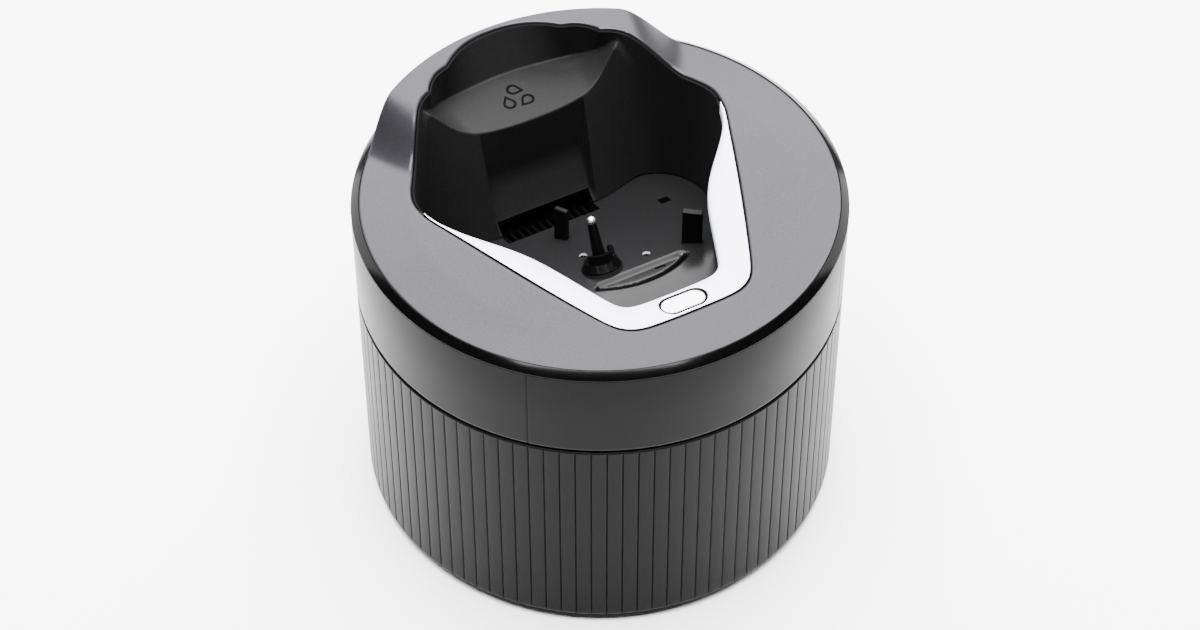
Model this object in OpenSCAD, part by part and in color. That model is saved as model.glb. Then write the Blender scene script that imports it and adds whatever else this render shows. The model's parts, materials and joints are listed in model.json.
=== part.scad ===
// Cleaning pod for a cordless rotary shaver.
// Millimetres, +Z up. The origin is on the table at the centre of the round base.
// The front, with the release button, faces -Y.

/* [Pod] */
// Outer radius of the round body
pod_r = 62; // [50:0.5:75]
// Height of the parting line between base and top
seam_z = 66.3; // [55:0.1:80]
// Height of the black ring's lower edge
ring_z = 91.7; // [80:0.1:110]
// Wall of the outer shells
shell_w = 2.6; // [1.6:0.1:4]
// Ribs round the base
rib_count = 100; // [40:2:140]
// Width of each groove between ribs
groove_w = 0.6; // [0.3:0.1:1.5]
// Depth of each groove
groove_d = 0.45; // [0.2:0.05:0.8]

/* [Cover] */
// Radius of the grey cover
cover_r = 59.8; // [50:0.1:70]
// Height of the cover's edge above the ring's lower edge
edge_rise = 1.7; // [0.5:0.1:4]
// Extra height of the cover beside the opening
side_rise = 1.4; // [0:0.1:4]
// Height of the hood above the ring's lower edge
hood_rise = 10.2; // [6:0.1:16]
// Thickness of the cover plate
plate_t = 1.8; // [1.2:0.1:3]

/* [Well] */
// Slope of the tray, in degrees, down towards the back
tray_slope = 16.5; // [5:0.5:30]
// Height of the tray where the spindle comes through, from the ring's lower edge
tray_drop = -24.3; // [-40:0.1:-15]
// Where the level front of the tray starts
shelf_y = -12; // [-25:0.5:0]
// Thickness of the tray
tray_t = 2.2; // [1.5:0.1:4]

/* [Spindle] */
// Lean of the spindle, in degrees, towards the back
spindle_lean = 26; // [0:0.5:35]
// Radius of the steel shaft
shaft_r = 1.5; // [1:0.1:3]
// Radius of the round tip
tip_r = 1.3; // [1:0.1:2]
// Length of the drive sleeve above the tray
sleeve_h = 13; // [8:0.1:20]
// Distance from the tray down to the bottom of the impeller
pump_depth = 44; // [30:0.5:50]
// Blades on the impeller
blade_count = 6; // [3:1:10]

/* [Cartridge] */
// Outer radius of the cartridge
cart_r = 53; // [40:0.5:56]
// Height of the cartridge's rim above the table
cart_top = 46; // [35:0.5:50]
// Wall of the cartridge
cart_w = 1.5; // [1:0.1:3]

/* [Release] */
// Length of the release button
button_l = 11.6; // [8:0.1:20]
// Width of the release button
button_w = 5.6; // [4:0.1:8]
// Distance of the button in front of the centre
button_y = 41.8; // [38:0.1:44]
// Travel of the button and of the latch
press = 2.0; // [1:0.1:3]

/* [Hidden] */
fine = 96;
// Gap round the release button.
pill_gap = 0.6;
// Radius of screw shanks and of the pilot holes they cut into.
screw_r = 1.25;
pilot_r = 1.3;
cup_in = pod_r - shell_w;
slope = tan(tray_slope);
pin_y = -1.1;
shelf_drop = tray_drop - slope * (shelf_y - pin_y);
cup_top = seam_z - 0.4;
band_bottom = seam_z + 0.4;
tip_count = 26;

// ---------- curves ----------

// Points from p towards q, bowed outward by h at the middle, without q itself.
function bow(p, q, h, n) =
    let (d = q - p, out = [d[1], -d[0]] / norm(d))
    [for (i = [0 : n - 1]) let (t = i / n) p + d * t + out * 4 * h * t * (1 - t)];

function smooth(t) = let (u = min(1, max(0, t))) u * u * (3 - 2 * u);
function lerp(a, b, t) = a + (b - a) * t;
function mirrored(pts) = [for (i = [len(pts) - 1 : -1 : 1]) [-pts[i][0], pts[i][1]]];
// A right half that starts at the front centre and ends at the back centre, made whole.
function whole(half) = concat(half, mirrored([for (i = [0 : len(half) - 2]) half[i]]));
// Moves a plan point away from the centre by d.
function pushed(p, d) = p * (1 + d / norm(p));

// Opening of the cover, right half: front edge, corner, side, widest corner, flank, scallops.
opening_half = concat(
    bow([0, -46.2], [11.6, -46], 0, 4),
    bow([11.6, -46], [20.4, -39.6], 1.6, 6),
    bow([20.4, -39.6], [40.6, 6.9], 0.5, 12),
    bow([40.6, 6.9], [42.6, 13.3], 0.4, 4),
    bow([42.6, 13.3], [41.3, 22.2], 0.9, 5),
    bow([41.3, 22.2], [30, 41], 0, 8),
    bow([30, 41], [24.6, 45.2], 0.7, 4),
    bow([24.6, 45.2], [16.6, 51.6], 0.9, 5),
    bow([16.6, 51.6], [0, 58.2], 1.6, 8),
    [[0, 58.2]]
);
opening = whole(opening_half);
stations = len(opening);

// Inner edge of the trim, right half, point for point with the opening up to the tip.
trim_in_half = concat(
    bow([0, -37], [9.5, -36.9], 0, 4),
    bow([9.5, -36.9], [15.3, -32.4], 1.3, 6),
    bow([15.3, -32.4], [22.4, -14.8], 0, 6),
    bow([22.4, -14.8], [28.6, -5.4], -0.7, 3),
    bow([28.6, -5.4], [37.2, 3.4], 0, 3),
    bow([37.2, 3.4], [41.7, 12.6], 0.6, 4),
    [[41.7, 12.6]]
);

// Outline of the well's floor, right half, point for point with the opening.
floor_half = concat(
    bow([0, -36], [10, -36], 0, 4),
    bow([10, -36], [17.8, -30], 1.5, 6),
    bow([17.8, -30], [27.8, -9], 0, 6),
    bow([27.8, -9], [33, 0], -0.3, 3),
    bow([33, 0], [36.5, 6], 0, 3),
    bow([36.5, 6], [38.8, 13], 0, 4),
    bow([38.8, 13], [38.2, 24], 0.8, 5),
    bow([38.2, 24], [30, 33], 1.4, 8),
    bow([30, 33], [23, 30.6], 0, 4),
    bow([23, 30.6], [15, 28.3], -0.5, 5),
    bow([15, 28.3], [0, 28.3], 0, 8),
    [[0, 28.3]]
);
floor_line = whole(floor_half);

// Height of the cover above the ring's lower edge, at plan point p.
function cover_rise(p) =
    let (
        r = norm(p),
        in = (cover_r - r) / 12,
        disc = edge_rise + side_rise * smooth((p[1] + 46) / 50) * min(1, max(0, in)),
        from = 40 - 7 * min(1, in),
        to = 57 - 3 * min(1, in),
        hood = smooth((atan2(p[1], abs(p[0])) - from) / (to - from))
    ) lerp(disc, hood_rise, hood);

// Height of the tray's top, from the ring's lower edge.
function tray_rise(y) = min(shelf_drop, tray_drop - slope * (y - pin_y));

// Trim heights, from the ring's lower edge: the inner edge rises towards the tips.
function trim_in_rise(y) = 0.3 + 2.2 * smooth((y + 16) / 26);

// Closed loops of points skinned into one solid; ends are capped unless it closes on itself.
module skin(loops, closed) {
    n = len(loops);
    k = len(loops[0]);
    last = closed ? n - 1 : n - 2;
    sides = [
        for (i = [0 : last]) for (j = [0 : k - 1])
            let (a = i * k, b = ((i + 1) % n) * k, m = (j + 1) % k) [a + j, a + m, b + m, b + j]
    ];
    start_cap = [for (j = [k - 1 : -1 : 0]) j];
    end_cap = [for (j = [0 : k - 1]) (n - 1) * k + j];
    polyhedron(
        points = [for (l = loops) for (p = l) p],
        faces = closed ? sides : concat(sides, [start_cap, end_cap]),
        convexity = 8
    );
}

module stadium(l, w) {
    hull() {
        translate([l / 2 - w / 2, 0]) circle(d = w, $fn = 40);
        translate([w / 2 - l / 2, 0]) circle(d = w, $fn = 40);
    }
}

module tube(r_out, r_in, z0, z1) {
    translate([0, 0, z0]) difference() {
        cylinder(r = r_out, h = z1 - z0, $fn = fine);
        translate([0, 0, -1]) cylinder(r = r_in, h = z1 - z0 + 2, $fn = fine);
    }
}

// Puts children in the spindle's own frame: z = 0 on the tray, +z up the spindle.
module on_spindle() {
    translate([0, pin_y, ring_z + tray_drop]) rotate([-spindle_lean, 0, 0]) children();
}

// ---------- base ----------

foot_ring_r = 46;
foot_angles = [45, 135, 225, 315];
boss_angles = [0, 90, 180, 270];
boss_ring_r = 55.6;

module base_cup() {
    color([0.30, 0.30, 0.31]) difference() {
        union() {
            tube(pod_r, cup_in, 2.2, cup_top);
            translate([0, 0, 2.2]) cylinder(r = cup_in + 0.5, h = 2.4, $fn = fine);
            for (a = boss_angles)
                rotate(a) translate([boss_ring_r, 0, 4]) cylinder(r = 3, h = 10, $fn = 32);
        }
        for (i = [0 : rib_count - 1])
            rotate((i + 0.5) * 360 / rib_count)
                translate([pod_r - groove_d, -groove_w / 2, 3.6])
                    cube([groove_d + 1, groove_w, cup_top - 5.2]);
        // Mouth lip, so the parting line reads as a dark gap.
        translate([0, 0, cup_top - 0.9]) difference() {
            cylinder(r = pod_r + 1, h = 2, $fn = fine);
            translate([0, 0, -1]) cylinder(r = pod_r - 0.5, h = 4, $fn = fine);
        }
        for (a = boss_angles)
            rotate(a) translate([boss_ring_r, 0, -1]) cylinder(r = pilot_r, h = 12, $fn = 32);
        // Pocket that the latch hooks into.
        translate([-6, -(pod_r - 1.3), bar_low - 0.6]) cube([12, 4, bar_high - bar_low + 1.4]);
    }
}

module bottom_plate() {
    color([0.08, 0.08, 0.09]) difference() {
        translate([0, 0, 0.8]) cylinder(r = pod_r - 1.6, h = 1.3, $fn = fine);
        for (a = foot_angles)
            rotate(a) translate([foot_ring_r, 0, -1]) cylinder(r = 5.2, h = 2.4, $fn = 40);
        for (a = boss_angles) rotate(a) translate([boss_ring_r, 0, -1]) {
            cylinder(r = 1.6, h = 5, $fn = 32);
            cylinder(r = 3, h = 2.6, $fn = 32);
        }
    }
}

module rubber_feet() {
    color([0.12, 0.12, 0.12])
        for (a = foot_angles)
            rotate(a) translate([foot_ring_r, 0, 0]) cylinder(r = 5, h = 1.4, $fn = 40);
}

// A self-tapping screw, head down, tip up.
module screw(r, head_r, l) {
    cylinder(r = head_r, h = 1, $fn = 32);
    cylinder(r = r, h = l, $fn = 32);
}

module bottom_screws() {
    color([0.7, 0.7, 0.72])
        for (a = boss_angles)
            rotate(a) translate([boss_ring_r, 0, 0.55]) screw(screw_r, 2.6, 9);
}

// ---------- cartridge ----------

cart_z = 5;
lid_t = 2.4;
// Radius of the hollows that clear the screw bosses.
boss_clear = 4;
// Openings of the lid: the pump's port in front, the drain's port behind.
port = [30, 44];
port_y = -16;
drain_port = [34, 12];
drain_y = 27;

module cartridge_tub() {
    color([0.86, 0.88, 0.90]) {
        difference() {
            translate([0, 0, cart_z]) cylinder(r = cart_r, h = cart_top - cart_z, $fn = fine);
            translate([0, 0, cart_z + cart_w])
                cylinder(r = cart_r - cart_w, h = cart_top, $fn = fine);
            for (a = boss_angles)
                rotate(a) translate([boss_ring_r, 0, 0]) cylinder(r = boss_clear, h = 60, $fn = 32);
        }
        // Walls that close the tub again behind the four hollows for the screw bosses.
        intersection() {
            translate([0, 0, cart_z]) cylinder(r = cart_r, h = cart_top - cart_z, $fn = fine);
            for (a = boss_angles)
                rotate(a) translate([boss_ring_r, 0, 0])
                    tube(boss_clear + 1.5, boss_clear, cart_z, cart_top);
        }
    }
}

module lid_ports(grow) {
    translate([0, port_y]) square(port + [grow, grow], center = true);
    translate([0, drain_y]) square(drain_port + [grow, grow], center = true);
}

module cartridge_lid() {
    color([0.05, 0.05, 0.055]) translate([0, 0, cart_top + 0.8]) difference() {
        cylinder(r = cart_r, h = lid_t, $fn = fine);
        translate([0, 0, -1]) linear_extrude(lid_t + 2) lid_ports(0);
        for (a = boss_angles)
            rotate(a) translate([boss_ring_r, 0, -1]) cylinder(r = boss_clear, h = 9, $fn = 32);
    }
}

module cartridge_seal() {
    color([0.10, 0.30, 0.55]) translate([0, 0, cart_top + 0.05]) difference() {
        cylinder(r = cart_r - 2.2, h = 0.7, $fn = fine);
        translate([0, 0, -1]) cylinder(r = cart_r - 5.5, h = 3, $fn = fine);
        for (a = boss_angles)
            rotate(a) translate([boss_ring_r, 0, -1])
                cylinder(r = boss_clear + 0.6, h = 9, $fn = 32);
    }
}

module filter_frame() {
    color([0.05, 0.05, 0.055]) translate([0, drain_y, cart_top - 8]) difference() {
        translate([-drain_port[0] / 2 - 2, -drain_port[1] / 2 - 2, 0])
            cube([drain_port[0] + 4, drain_port[1] + 4, 8.7]);
        translate([-drain_port[0] / 2, -drain_port[1] / 2, 1.6])
            cube([drain_port[0], drain_port[1], 10]);
        for (i = [-2 : 2])
            translate([i * 6.4 - 2, -drain_port[1] / 2 + 1, -1])
                cube([4, drain_port[1] - 2, 4]);
    }
}

module filter_pad() {
    color([0.10, 0.10, 0.10])
        translate([-drain_port[0] / 2 + 0.2, drain_y - drain_port[1] / 2 + 0.2, cart_top - 6.3])
            cube([drain_port[0] - 0.4, drain_port[1] - 0.4, 6]);
}

// ---------- top shells ----------

cover_steps = [0, 0.12, 0.35, 0.6, 0.85, 1];
skirt_in = 58.4;

// One slice of the cover, from the opening's edge out over the top and back underneath.
function cover_slice(p) =
    let (
        u = p / norm(p),
        top = [for (t = cover_steps) let (q = lerp(p, u * (cover_r - 0.5), t))
            [q[0], q[1], ring_z + cover_rise(q)]],
        edge = u * cover_r,
        edge_z = ring_z + cover_rise(edge) - 0.5,
        skirt = u * max(skirt_in, norm(p) + 0.1),
        below_r = max(norm(p) + 0.05, skirt_in - 0.1),
        under = [for (t = [1, 0.6, 0.25, 0]) let (q = lerp(p, u * below_r, t))
            [q[0], q[1], ring_z + cover_rise(q) - plate_t]]
    )
    concat(
        top,
        [[edge[0], edge[1], edge_z], [edge[0], edge[1], ring_z + 0.5],
         [skirt[0], skirt[1], ring_z + 0.5]],
        under
    );

module cover_plate() {
    color([0.62, 0.62, 0.66]) skin([for (p = opening) cover_slice(p)], true);
}

// One slice of the trim between the opening's edge and the trim's own inner edge.
function trim_slice(p, q) =
    let (
        a = pushed(p, -0.35),
        za = ring_z + cover_rise(p) - 0.15,
        zb = ring_z + trim_in_rise(q[1]),
        d = a - q,
        w = norm(d),
        lip = q + d * min(0.3, 1.3 / w),
        shoulder = q + d * min(0.2, 0.5 / w)
    )
    [
        [a[0], a[1], za], [shoulder[0], shoulder[1], zb + (za - zb) * min(0.2, 0.5 / w)],
        [q[0], q[1], zb - 0.5], [q[0], q[1], zb - 2.6], [lip[0], lip[1], zb - 2.6],
        [lip[0], lip[1], zb - 1.6], [a[0], a[1], za - 1.6]
    ];

module trim_band() {
    half = [for (i = [0 : tip_count]) trim_slice(opening_half[i], trim_in_half[i])];
    left = [
        for (i = [tip_count : -1 : 1])
            [for (v = half[i]) [-v[0], v[1], v[2]]]
    ];
    color([0.92, 0.92, 0.95]) difference() {
        skin([for (l = concat(left, half)) [for (j = [len(l) - 1 : -1 : 0]) l[j]]], false);
        translate([0, -button_y, ring_z - 5]) linear_extrude(12)
            stadium(button_l + 2 * pill_gap, button_w + 2 * pill_gap);
    }
}

module black_ring() {
    color([0.03, 0.03, 0.03]) rotate_extrude($fn = fine)
        polygon([
            [56.5, ring_z - 1.2], [60.0, ring_z - 1.2], [60.0, ring_z], [pod_r, ring_z],
            [pod_r, ring_z + 0.6], [pod_r - 0.8, ring_z + 1.5], [cover_r + 0.15, ring_z + 1.7],
            [cover_r + 0.15, ring_z + 0.3], [skirt_in + 0.15, ring_z + 0.3],
            [skirt_in + 0.15, ring_z - 0.2], [56.5, ring_z - 0.2]
        ]);
}

module collar_band() {
    color([0.32, 0.32, 0.33]) difference() {
        rotate_extrude($fn = fine) polygon([
            [60.2, band_bottom], [pod_r - 1.0, band_bottom], [pod_r - 0.3, band_bottom + 0.4],
            [pod_r, band_bottom + 1.2], [pod_r, ring_z - 0.1], [60.2, ring_z - 0.1]
        ]);
        // Fine upright mould lines at the quarters.
        for (a = foot_angles)
            rotate(a) translate([pod_r - 0.15, -0.1, band_bottom - 1]) cube([1, 0.2, 40]);
    }
}

// Flat web inside the top, and the spigot that drops into the base.
web_z = ring_z - 9;
web_t = 2;
post_r = 3.2;
chassis_in = 57.0;
spigot_r = 59.0;
spigot_low = 57.5;

module top_chassis() {
    color([0.14, 0.14, 0.15]) difference() {
        union() {
            rotate_extrude($fn = fine) polygon([
                [chassis_in, spigot_low], [spigot_r, spigot_low], [spigot_r, seam_z + 0.1],
                [60.1, seam_z + 1.2], [60.1, ring_z - 1.4], [chassis_in, ring_z - 1.4]
            ]);
            translate([0, 0, web_z]) linear_extrude(web_t) difference() {
                circle(r = chassis_in + 1, $fn = fine);
                intersection() {
                    offset(1.6) polygon(opening);
                    translate([-50, -60]) square([100, 102.6]);
                }
            }
            // Posts that the tray's ears are screwed up against.
            for (e = tray_ears) {
                foot = ring_z + tray_rise(e[1] - post_r) + 0.1;
                translate([e[0], e[1], foot]) cylinder(r = post_r, h = web_z + 1 - foot, $fn = 32);
            }
        }
        for (e = tray_ears)
            translate([e[0], e[1], ring_z - 30]) cylinder(r = 1.1, h = 16, $fn = 32);
        // Seal groove round the spigot.
        tube(60, spigot_r - 0.7, seal_z - 0.1, seal_z + 1.9);
        // Way out for the latch's nose.
        translate([-5.6, -60.2, bar_low - 1]) cube([11.2, 6, 5]);
    }
}

seal_z = 62;

module chassis_seal() {
    color([0.05, 0.05, 0.05]) difference() {
        rotate_extrude($fn = fine) translate([spigot_r - 0.6, seal_z]) square([0.9, 1.8]);
        translate([-8, -62, 58]) cube([16, 10, 8]);
    }
}

// ---------- the well ----------

tray_ears = [[47.5, 0], [-47.5, 0], [33, -34.5], [-33, -34.5]];

// Crease and front edge of the ledge, as functions of the rim's x.
function crease_x(x) = lookup(x, [[0, 0], [16.6, 17], [24.6, 22.5], [30, 28.6]]);
function crease_y(x) = lookup(x, [[0, 52.8], [16.6, 51.2], [24.6, 46], [30, 41]]);
function crease_z(x) = lookup(x, [[0, -0.8], [16.6, -0.8], [24.6, 1.6], [30, 7.4]]);
function ledge_x(x) = lookup(x, [[0, 0], [16.6, 15.2], [24.6, 21.8], [30, 27.6]]);
function ledge_y(x) = lookup(x, [[0, 35.5], [16.6, 36.8], [24.6, 38.9], [30, 40.2]]);
function ledge_z(x) = lookup(x, [[0, -2.5], [16.6, -1.8], [24.6, 1.3], [30, 6.4]]);

// Width of the drain slot under the resting pad.
drain_w = 27;
// Depth and height of the resting pad's upper and lower edges on the back wall.
pad_high = [36.4, -20.3];
pad_low = [31.2, -29.9];

// Upper edge of the well at station i of the right half.
function well_top(i) =
    i <= tip_count
    ? let (q = pushed(trim_in_half[i], 0.8)) [q[0], q[1], trim_in_rise(q[1]) - 2.8]
    : let (q = pushed(opening_half[i], -1.6)) [q[0], q[1], cover_rise(opening_half[i]) - 0.8];

function flat(v) = [v[0], v[1]];

// The point v moved out by d along u, and down by drop.
function beside(v, u, d, drop) = [v[0] + d * u[0], v[1] + d * u[1], v[2] - drop];

// Wall of the well: thin under the trim's front, thicker along the sides, thin at the back rim.
well_t = 1.8;
well_t_front = 1.0;
well_t_back = 1.15;
front_stations = 8;

// Stations of the back rim, which carry the ledge, lie behind this line.
ledge_from = 40.9;

// 1 over the pad in the middle of the back wall, 0 beside it.
function pad_share(i, x) =
    i <= tip_count || opening_half[i][1] < ledge_from ? 0 : smooth((15 - x) / 2);

function well_slice(i) =
    let (
        t = well_top(i),
        x = opening_half[i][0],
        ledged = opening_half[i][1] > ledge_from,
        f2 = floor_half[i],
        f = [f2[0], f2[1], tray_rise(f2[1]) + 1],
        c = ledged ? [crease_x(x), crease_y(x), crease_z(x)] : lerp(t, f, 0.15),
        l = ledged ? [ledge_x(x), ledge_y(x), ledge_z(x)] : lerp(t, f, 0.3),
        share = pad_share(i, f2[0]),
        pad_top = lerp(lerp(l, f, 0.6), [f2[0], pad_high[0], pad_high[1]], share),
        pad_foot = lerp(lerp(l, f, 0.92), [f2[0], pad_low[0], pad_low[1]], share),
        ut = flat(t) / norm(flat(t)),
        uf = f2 / norm(f2),
        in_front = i < front_stations,
        wall = i > tip_count ? well_t_back : in_front ? well_t_front : well_t,
        drop = ledged ? well_t : 0,
        inner = [t, c, l, pad_top, pad_foot, f],
        outer = [
            beside(f, uf, well_t, 0), beside(pad_foot, uf, well_t, 0),
            beside(pad_top, uf, well_t, 0), beside(l, ut, in_front ? 1.2 : well_t, drop),
            beside(c, ut, min(wall + 0.15, 1.4), drop), beside(t, ut, wall, 0)
        ]
    )
    [for (v = concat(inner, outer)) [v[0], v[1], v[2] + ring_z]];

module shaver_holder() {
    half = [for (i = [0 : len(opening_half) - 1]) well_slice(i)];
    left = [
        for (i = [len(half) - 2 : -1 : 1])
            [for (v = half[i]) [-v[0], v[1], v[2]]]
    ];
    color([0.05, 0.05, 0.055]) difference() {
        skin([for (l = concat(half, left)) [for (j = [len(l) - 1 : -1 : 0]) l[j]]], true);
        // Drain slot at the foot of the back wall.
        translate([-drain_w / 2, 24, ring_z - 36]) cube([drain_w, 10, 6.2]);
    }
}

// One outlined drop, its tip towards +Y.
module drop_outline(l) {
    difference() {
        drop_shape(l);
        offset(-0.5) drop_shape(l);
    }
}

module drop_shape(l) {
    hull() {
        circle(r = l * 0.36, $fn = 32);
        translate([0, l * 0.62]) circle(r = 0.15, $fn = 12);
    }
}

module drops_icon() {
    color([0.02, 0.02, 0.02]) translate([-0.5, 43.9, ring_z - 1.45]) rotate([5.6, 0, 0])
        linear_extrude(0.25) for (a = [0, 120, 240])
            rotate(a - 5) translate([0, 2.9]) rotate(-115) drop_outline(4.8);
}

// Outline of the tray, larger than the well's floor so the wall stands on it.
module tray_outline(grow) {
    offset(grow) polygon(floor_line);
}

module tray_sheet(low, high) {
    rotate([90, 0, 90]) translate([0, 0, -60]) linear_extrude(120) polygon([
        [-60, ring_z + shelf_drop + high], [shelf_y, ring_z + shelf_drop + high],
        [50, ring_z + tray_rise(50) + high], [50, ring_z + tray_rise(50) + low],
        [shelf_y, ring_z + shelf_drop + low], [-60, ring_z + shelf_drop + low]
    ]);
}

jet_holes = [[-1, 7.3], [12.2, -2.4]];
jet_r = 1.2;
jet_bore_r = 0.75;
// Curved groove: its centre in plan, radius, width and sweep in degrees.
arc_centre = [7.5, 11.5];
arc_r = 24;
arc_w = 0.7;
arc_start = -124;
arc_span = 68;
// Where the tray stops, in front of the drain.
drain_from = 24.6;

module drip_tray() {
    color([0.24, 0.24, 0.25]) difference() {
        union() {
            intersection() {
                tray_sheet(-tray_t, 0);
                translate([0, 0, 40]) linear_extrude(60) {
                    tray_outline(3);
                    for (e = tray_ears) hull() {
                        translate(e) circle(r = 4.2, $fn = 32);
                        translate(e * 0.8) circle(r = 4.2, $fn = 32);
                    }
                }
            }
            // Locating fin and plate that the shaver's head is set against.
            standing_plate([-3.1, 19.5], [-0.9, 16.2], 1.6, ring_z - 31.5, ring_z - 19.3);
            standing_plate([21.6, -3.9], [25.7, -7.0], 1.8, ring_z - 25, ring_z - 12.3);
        }
        on_spindle() translate([0, 0, -20]) cylinder(r = carrier_r + 0.05, h = 22, $fn = 48);
        for (h = jet_holes)
            translate([h[0], h[1], ring_z - 40]) cylinder(r = jet_r, h = 30, $fn = 32);
        // Narrow slit in the shelf and a small square hole at the side, both open below.
        translate([11, -9.1, ring_z - 30]) rotate(-7) cube([3, 0.7, 20]);
        translate([27.3, 16.3, ring_z - 40]) cube([3, 2.6, 20]);
        // Drain: the tray's back edge stops short of the slot.
        translate([-drain_w / 2, drain_from, ring_z - 45]) cube([drain_w, 12, 20]);
        for (e = tray_ears)
            translate([e[0], e[1], ring_z - 40]) cylinder(r = 1.4, h = 30, $fn = 32);
        // Curved groove in front of the spindle.
        translate([arc_centre[0], arc_centre[1], ring_z + shelf_drop - 0.9])
            rotate(arc_start) rotate_extrude(angle = arc_span, $fn = fine)
                translate([arc_r - arc_w / 2, 0]) square([arc_w, 3]);
    }
}

// An upright plate whose front face runs from plan point p to plan point q.
module standing_plate(p, q, t, low, high) {
    d = q - p;
    translate([p[0], p[1], low]) rotate(atan2(d[1], d[0])) cube([norm(d), t, high - low]);
}

// Small flanged nozzles that the fluid comes up through.
module jet_nozzles() {
    color([0.80, 0.80, 0.82]) for (h = jet_holes) {
        top = ring_z + tray_rise(h[1]);
        translate([h[0], h[1], 0]) {
            tube(jet_r - 0.08, jet_bore_r, top - 3.6, top + 0.35);
            tube(jet_r + 0.5, jet_bore_r, top - 4.2, top - 3.2);
        }
    }
}

module tray_seal() {
    color([0.04, 0.04, 0.04]) difference() {
        intersection() {
            tray_sheet(0.05, 0.7);
            translate([0, 0, 40]) linear_extrude(60) difference() {
                tray_outline(1.6);
                tray_outline(0.2);
            }
        }
        translate([-drain_w / 2 - 0.5, 24, ring_z - 45]) cube([drain_w + 1, 14, 20]);
    }
}

module tray_screws() {
    color([0.7, 0.7, 0.72])
        for (e = tray_ears)
            translate([e[0], e[1], ring_z + shelf_drop - tray_t - 3.6]) screw_up(e);
}

// A screw whose head bears on the tray's underside at ear e.
module screw_up(e) {
    lift = tray_rise(e[1]) - shelf_drop + 1.4;
    translate([0, 0, lift]) screw(1.05, 2.2, 9);
}

module drain_grille() {
    color([0.10, 0.10, 0.10])
        translate([0, drain_from, ring_z + tray_rise(drain_from) - tray_t - 0.1])
            rotate([-tray_slope, 0, 0]) difference() {
                translate([-drain_w / 2 - 2, -1.6, -1]) cube([drain_w + 4, 11.5, 1]);
                for (i = [-6 : 6])
                    translate([i * 2.1 - 0.65, 0.4, -2]) cube([1.3, 7.6, 3]);
            }
}

// ---------- pump and spindle ----------

// Heights here are measured up the leaning spindle from the tray.
chamber_top = -pump_depth + 12;
chamber_r = 9.5;
// Screw ears that join the pump's neck to the carrier.
ear_x = 7.4;
ear_r = 2.1;
carrier_r = 5.3;
carrier_low = -4.6;
bush_r = 2.5;
running_gap = 0.05;
// Thin upper part of the shaft, inside the drive sleeve.
pin_r = 0.9;
shoulder = 1.7;
// Groove for the retaining clip, above the impeller.
clip_z = -pump_depth + 7.6;
clip_r = 1.1;

// Black insert in the tray that holds the upper bush and the shaft seal.
module bearing_carrier() {
    color([0.05, 0.05, 0.055]) on_spindle() difference() {
        union() {
            translate([0, 0, carrier_low]) cylinder(r = carrier_r, h = 0.1 - carrier_low, $fn = 48);
            translate([0, 0, carrier_low]) cylinder(r = carrier_r + 1.1, h = 1, $fn = 48);
            for (s = [-1, 1])
                translate([s * ear_x, 0, carrier_low]) cylinder(r = ear_r, h = 1, $fn = 32);
        }
        translate([0, 0, carrier_low - 1]) cylinder(r = bush_r + 0.05, h = 8, $fn = 48);
        for (s = [-1, 1])
            translate([s * ear_x, 0, carrier_low - 1]) cylinder(r = 0.9, h = 3, $fn = 32);
    }
}

module pump_housing() {
    neck_top = carrier_low - 0.1;
    color([0.20, 0.20, 0.21]) on_spindle() difference() {
        union() {
            translate([0, 0, chamber_top]) cylinder(r = 5.6, h = neck_top - chamber_top, $fn = 48);
            translate([0, 0, -pump_depth]) cylinder(r = chamber_r, h = 12.5, $fn = 48);
            for (s = [-1, 1])
                translate([s * ear_x, 0, neck_top - 4]) cylinder(r = ear_r, h = 4, $fn = 32);
            translate([-ear_x, -1.2, neck_top - 4]) cube([2 * ear_x, 2.4, 4]);
        }
        translate([0, 0, -pump_depth - 1]) cylinder(r = chamber_r - 1.4, h = 9.4, $fn = 48);
        translate([0, 0, -pump_depth - 1]) cylinder(r = 3.05, h = pump_depth, $fn = 48);
        for (s = [-1, 1])
            translate([s * ear_x, 0, neck_top - 6]) cylinder(r = 0.9, h = 12, $fn = 32);
        for (a = [0, 180]) rotate(a + 90) translate([6.6, 0, -pump_depth + 5])
            cylinder(r = 1.05, h = 12, $fn = 32);
    }
}

module pump_strainer() {
    color([0.16, 0.16, 0.17]) on_spindle() translate([0, 0, -pump_depth - 1.6]) difference() {
        cylinder(r = chamber_r, h = 1.5, $fn = 48);
        translate([0, 0, -1]) cylinder(r = 1.2, h = 4, $fn = 32);
        for (a = [0 : 45 : 315]) rotate(a) translate([4.6, 0, -1])
            cylinder(r = 1.1, h = 4, $fn = 24);
    }
}

module riser_tubes() {
    color([0.75, 0.76, 0.78]) on_spindle() for (a = [90, 270])
        rotate(a) translate([6.9, 0, chamber_top + 0.7]) difference() {
            cylinder(r = 1.15, h = 20, $fn = 24);
            translate([0, 0, -1]) cylinder(r = 0.7, h = 24, $fn = 24);
        }
}

module pump_screws() {
    color([0.7, 0.7, 0.72]) on_spindle() for (s = [-1, 1])
        translate([s * ear_x, 0, carrier_low - 5.2]) screw(0.85, 1.7, 5.8);
}

module upper_bush() {
    color([0.72, 0.55, 0.30]) on_spindle() tube(bush_r, shaft_r + running_gap, -4.4, -1);
}

module lower_bush() {
    color([0.72, 0.55, 0.30]) on_spindle()
        tube(3, shaft_r + running_gap, -pump_depth + 8.6, -pump_depth + 12.4);
}

module shaft_seal() {
    color([0.05, 0.05, 0.05]) on_spindle() tube(bush_r, shaft_r + 0.1, -0.9, 0.05);
}

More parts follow.
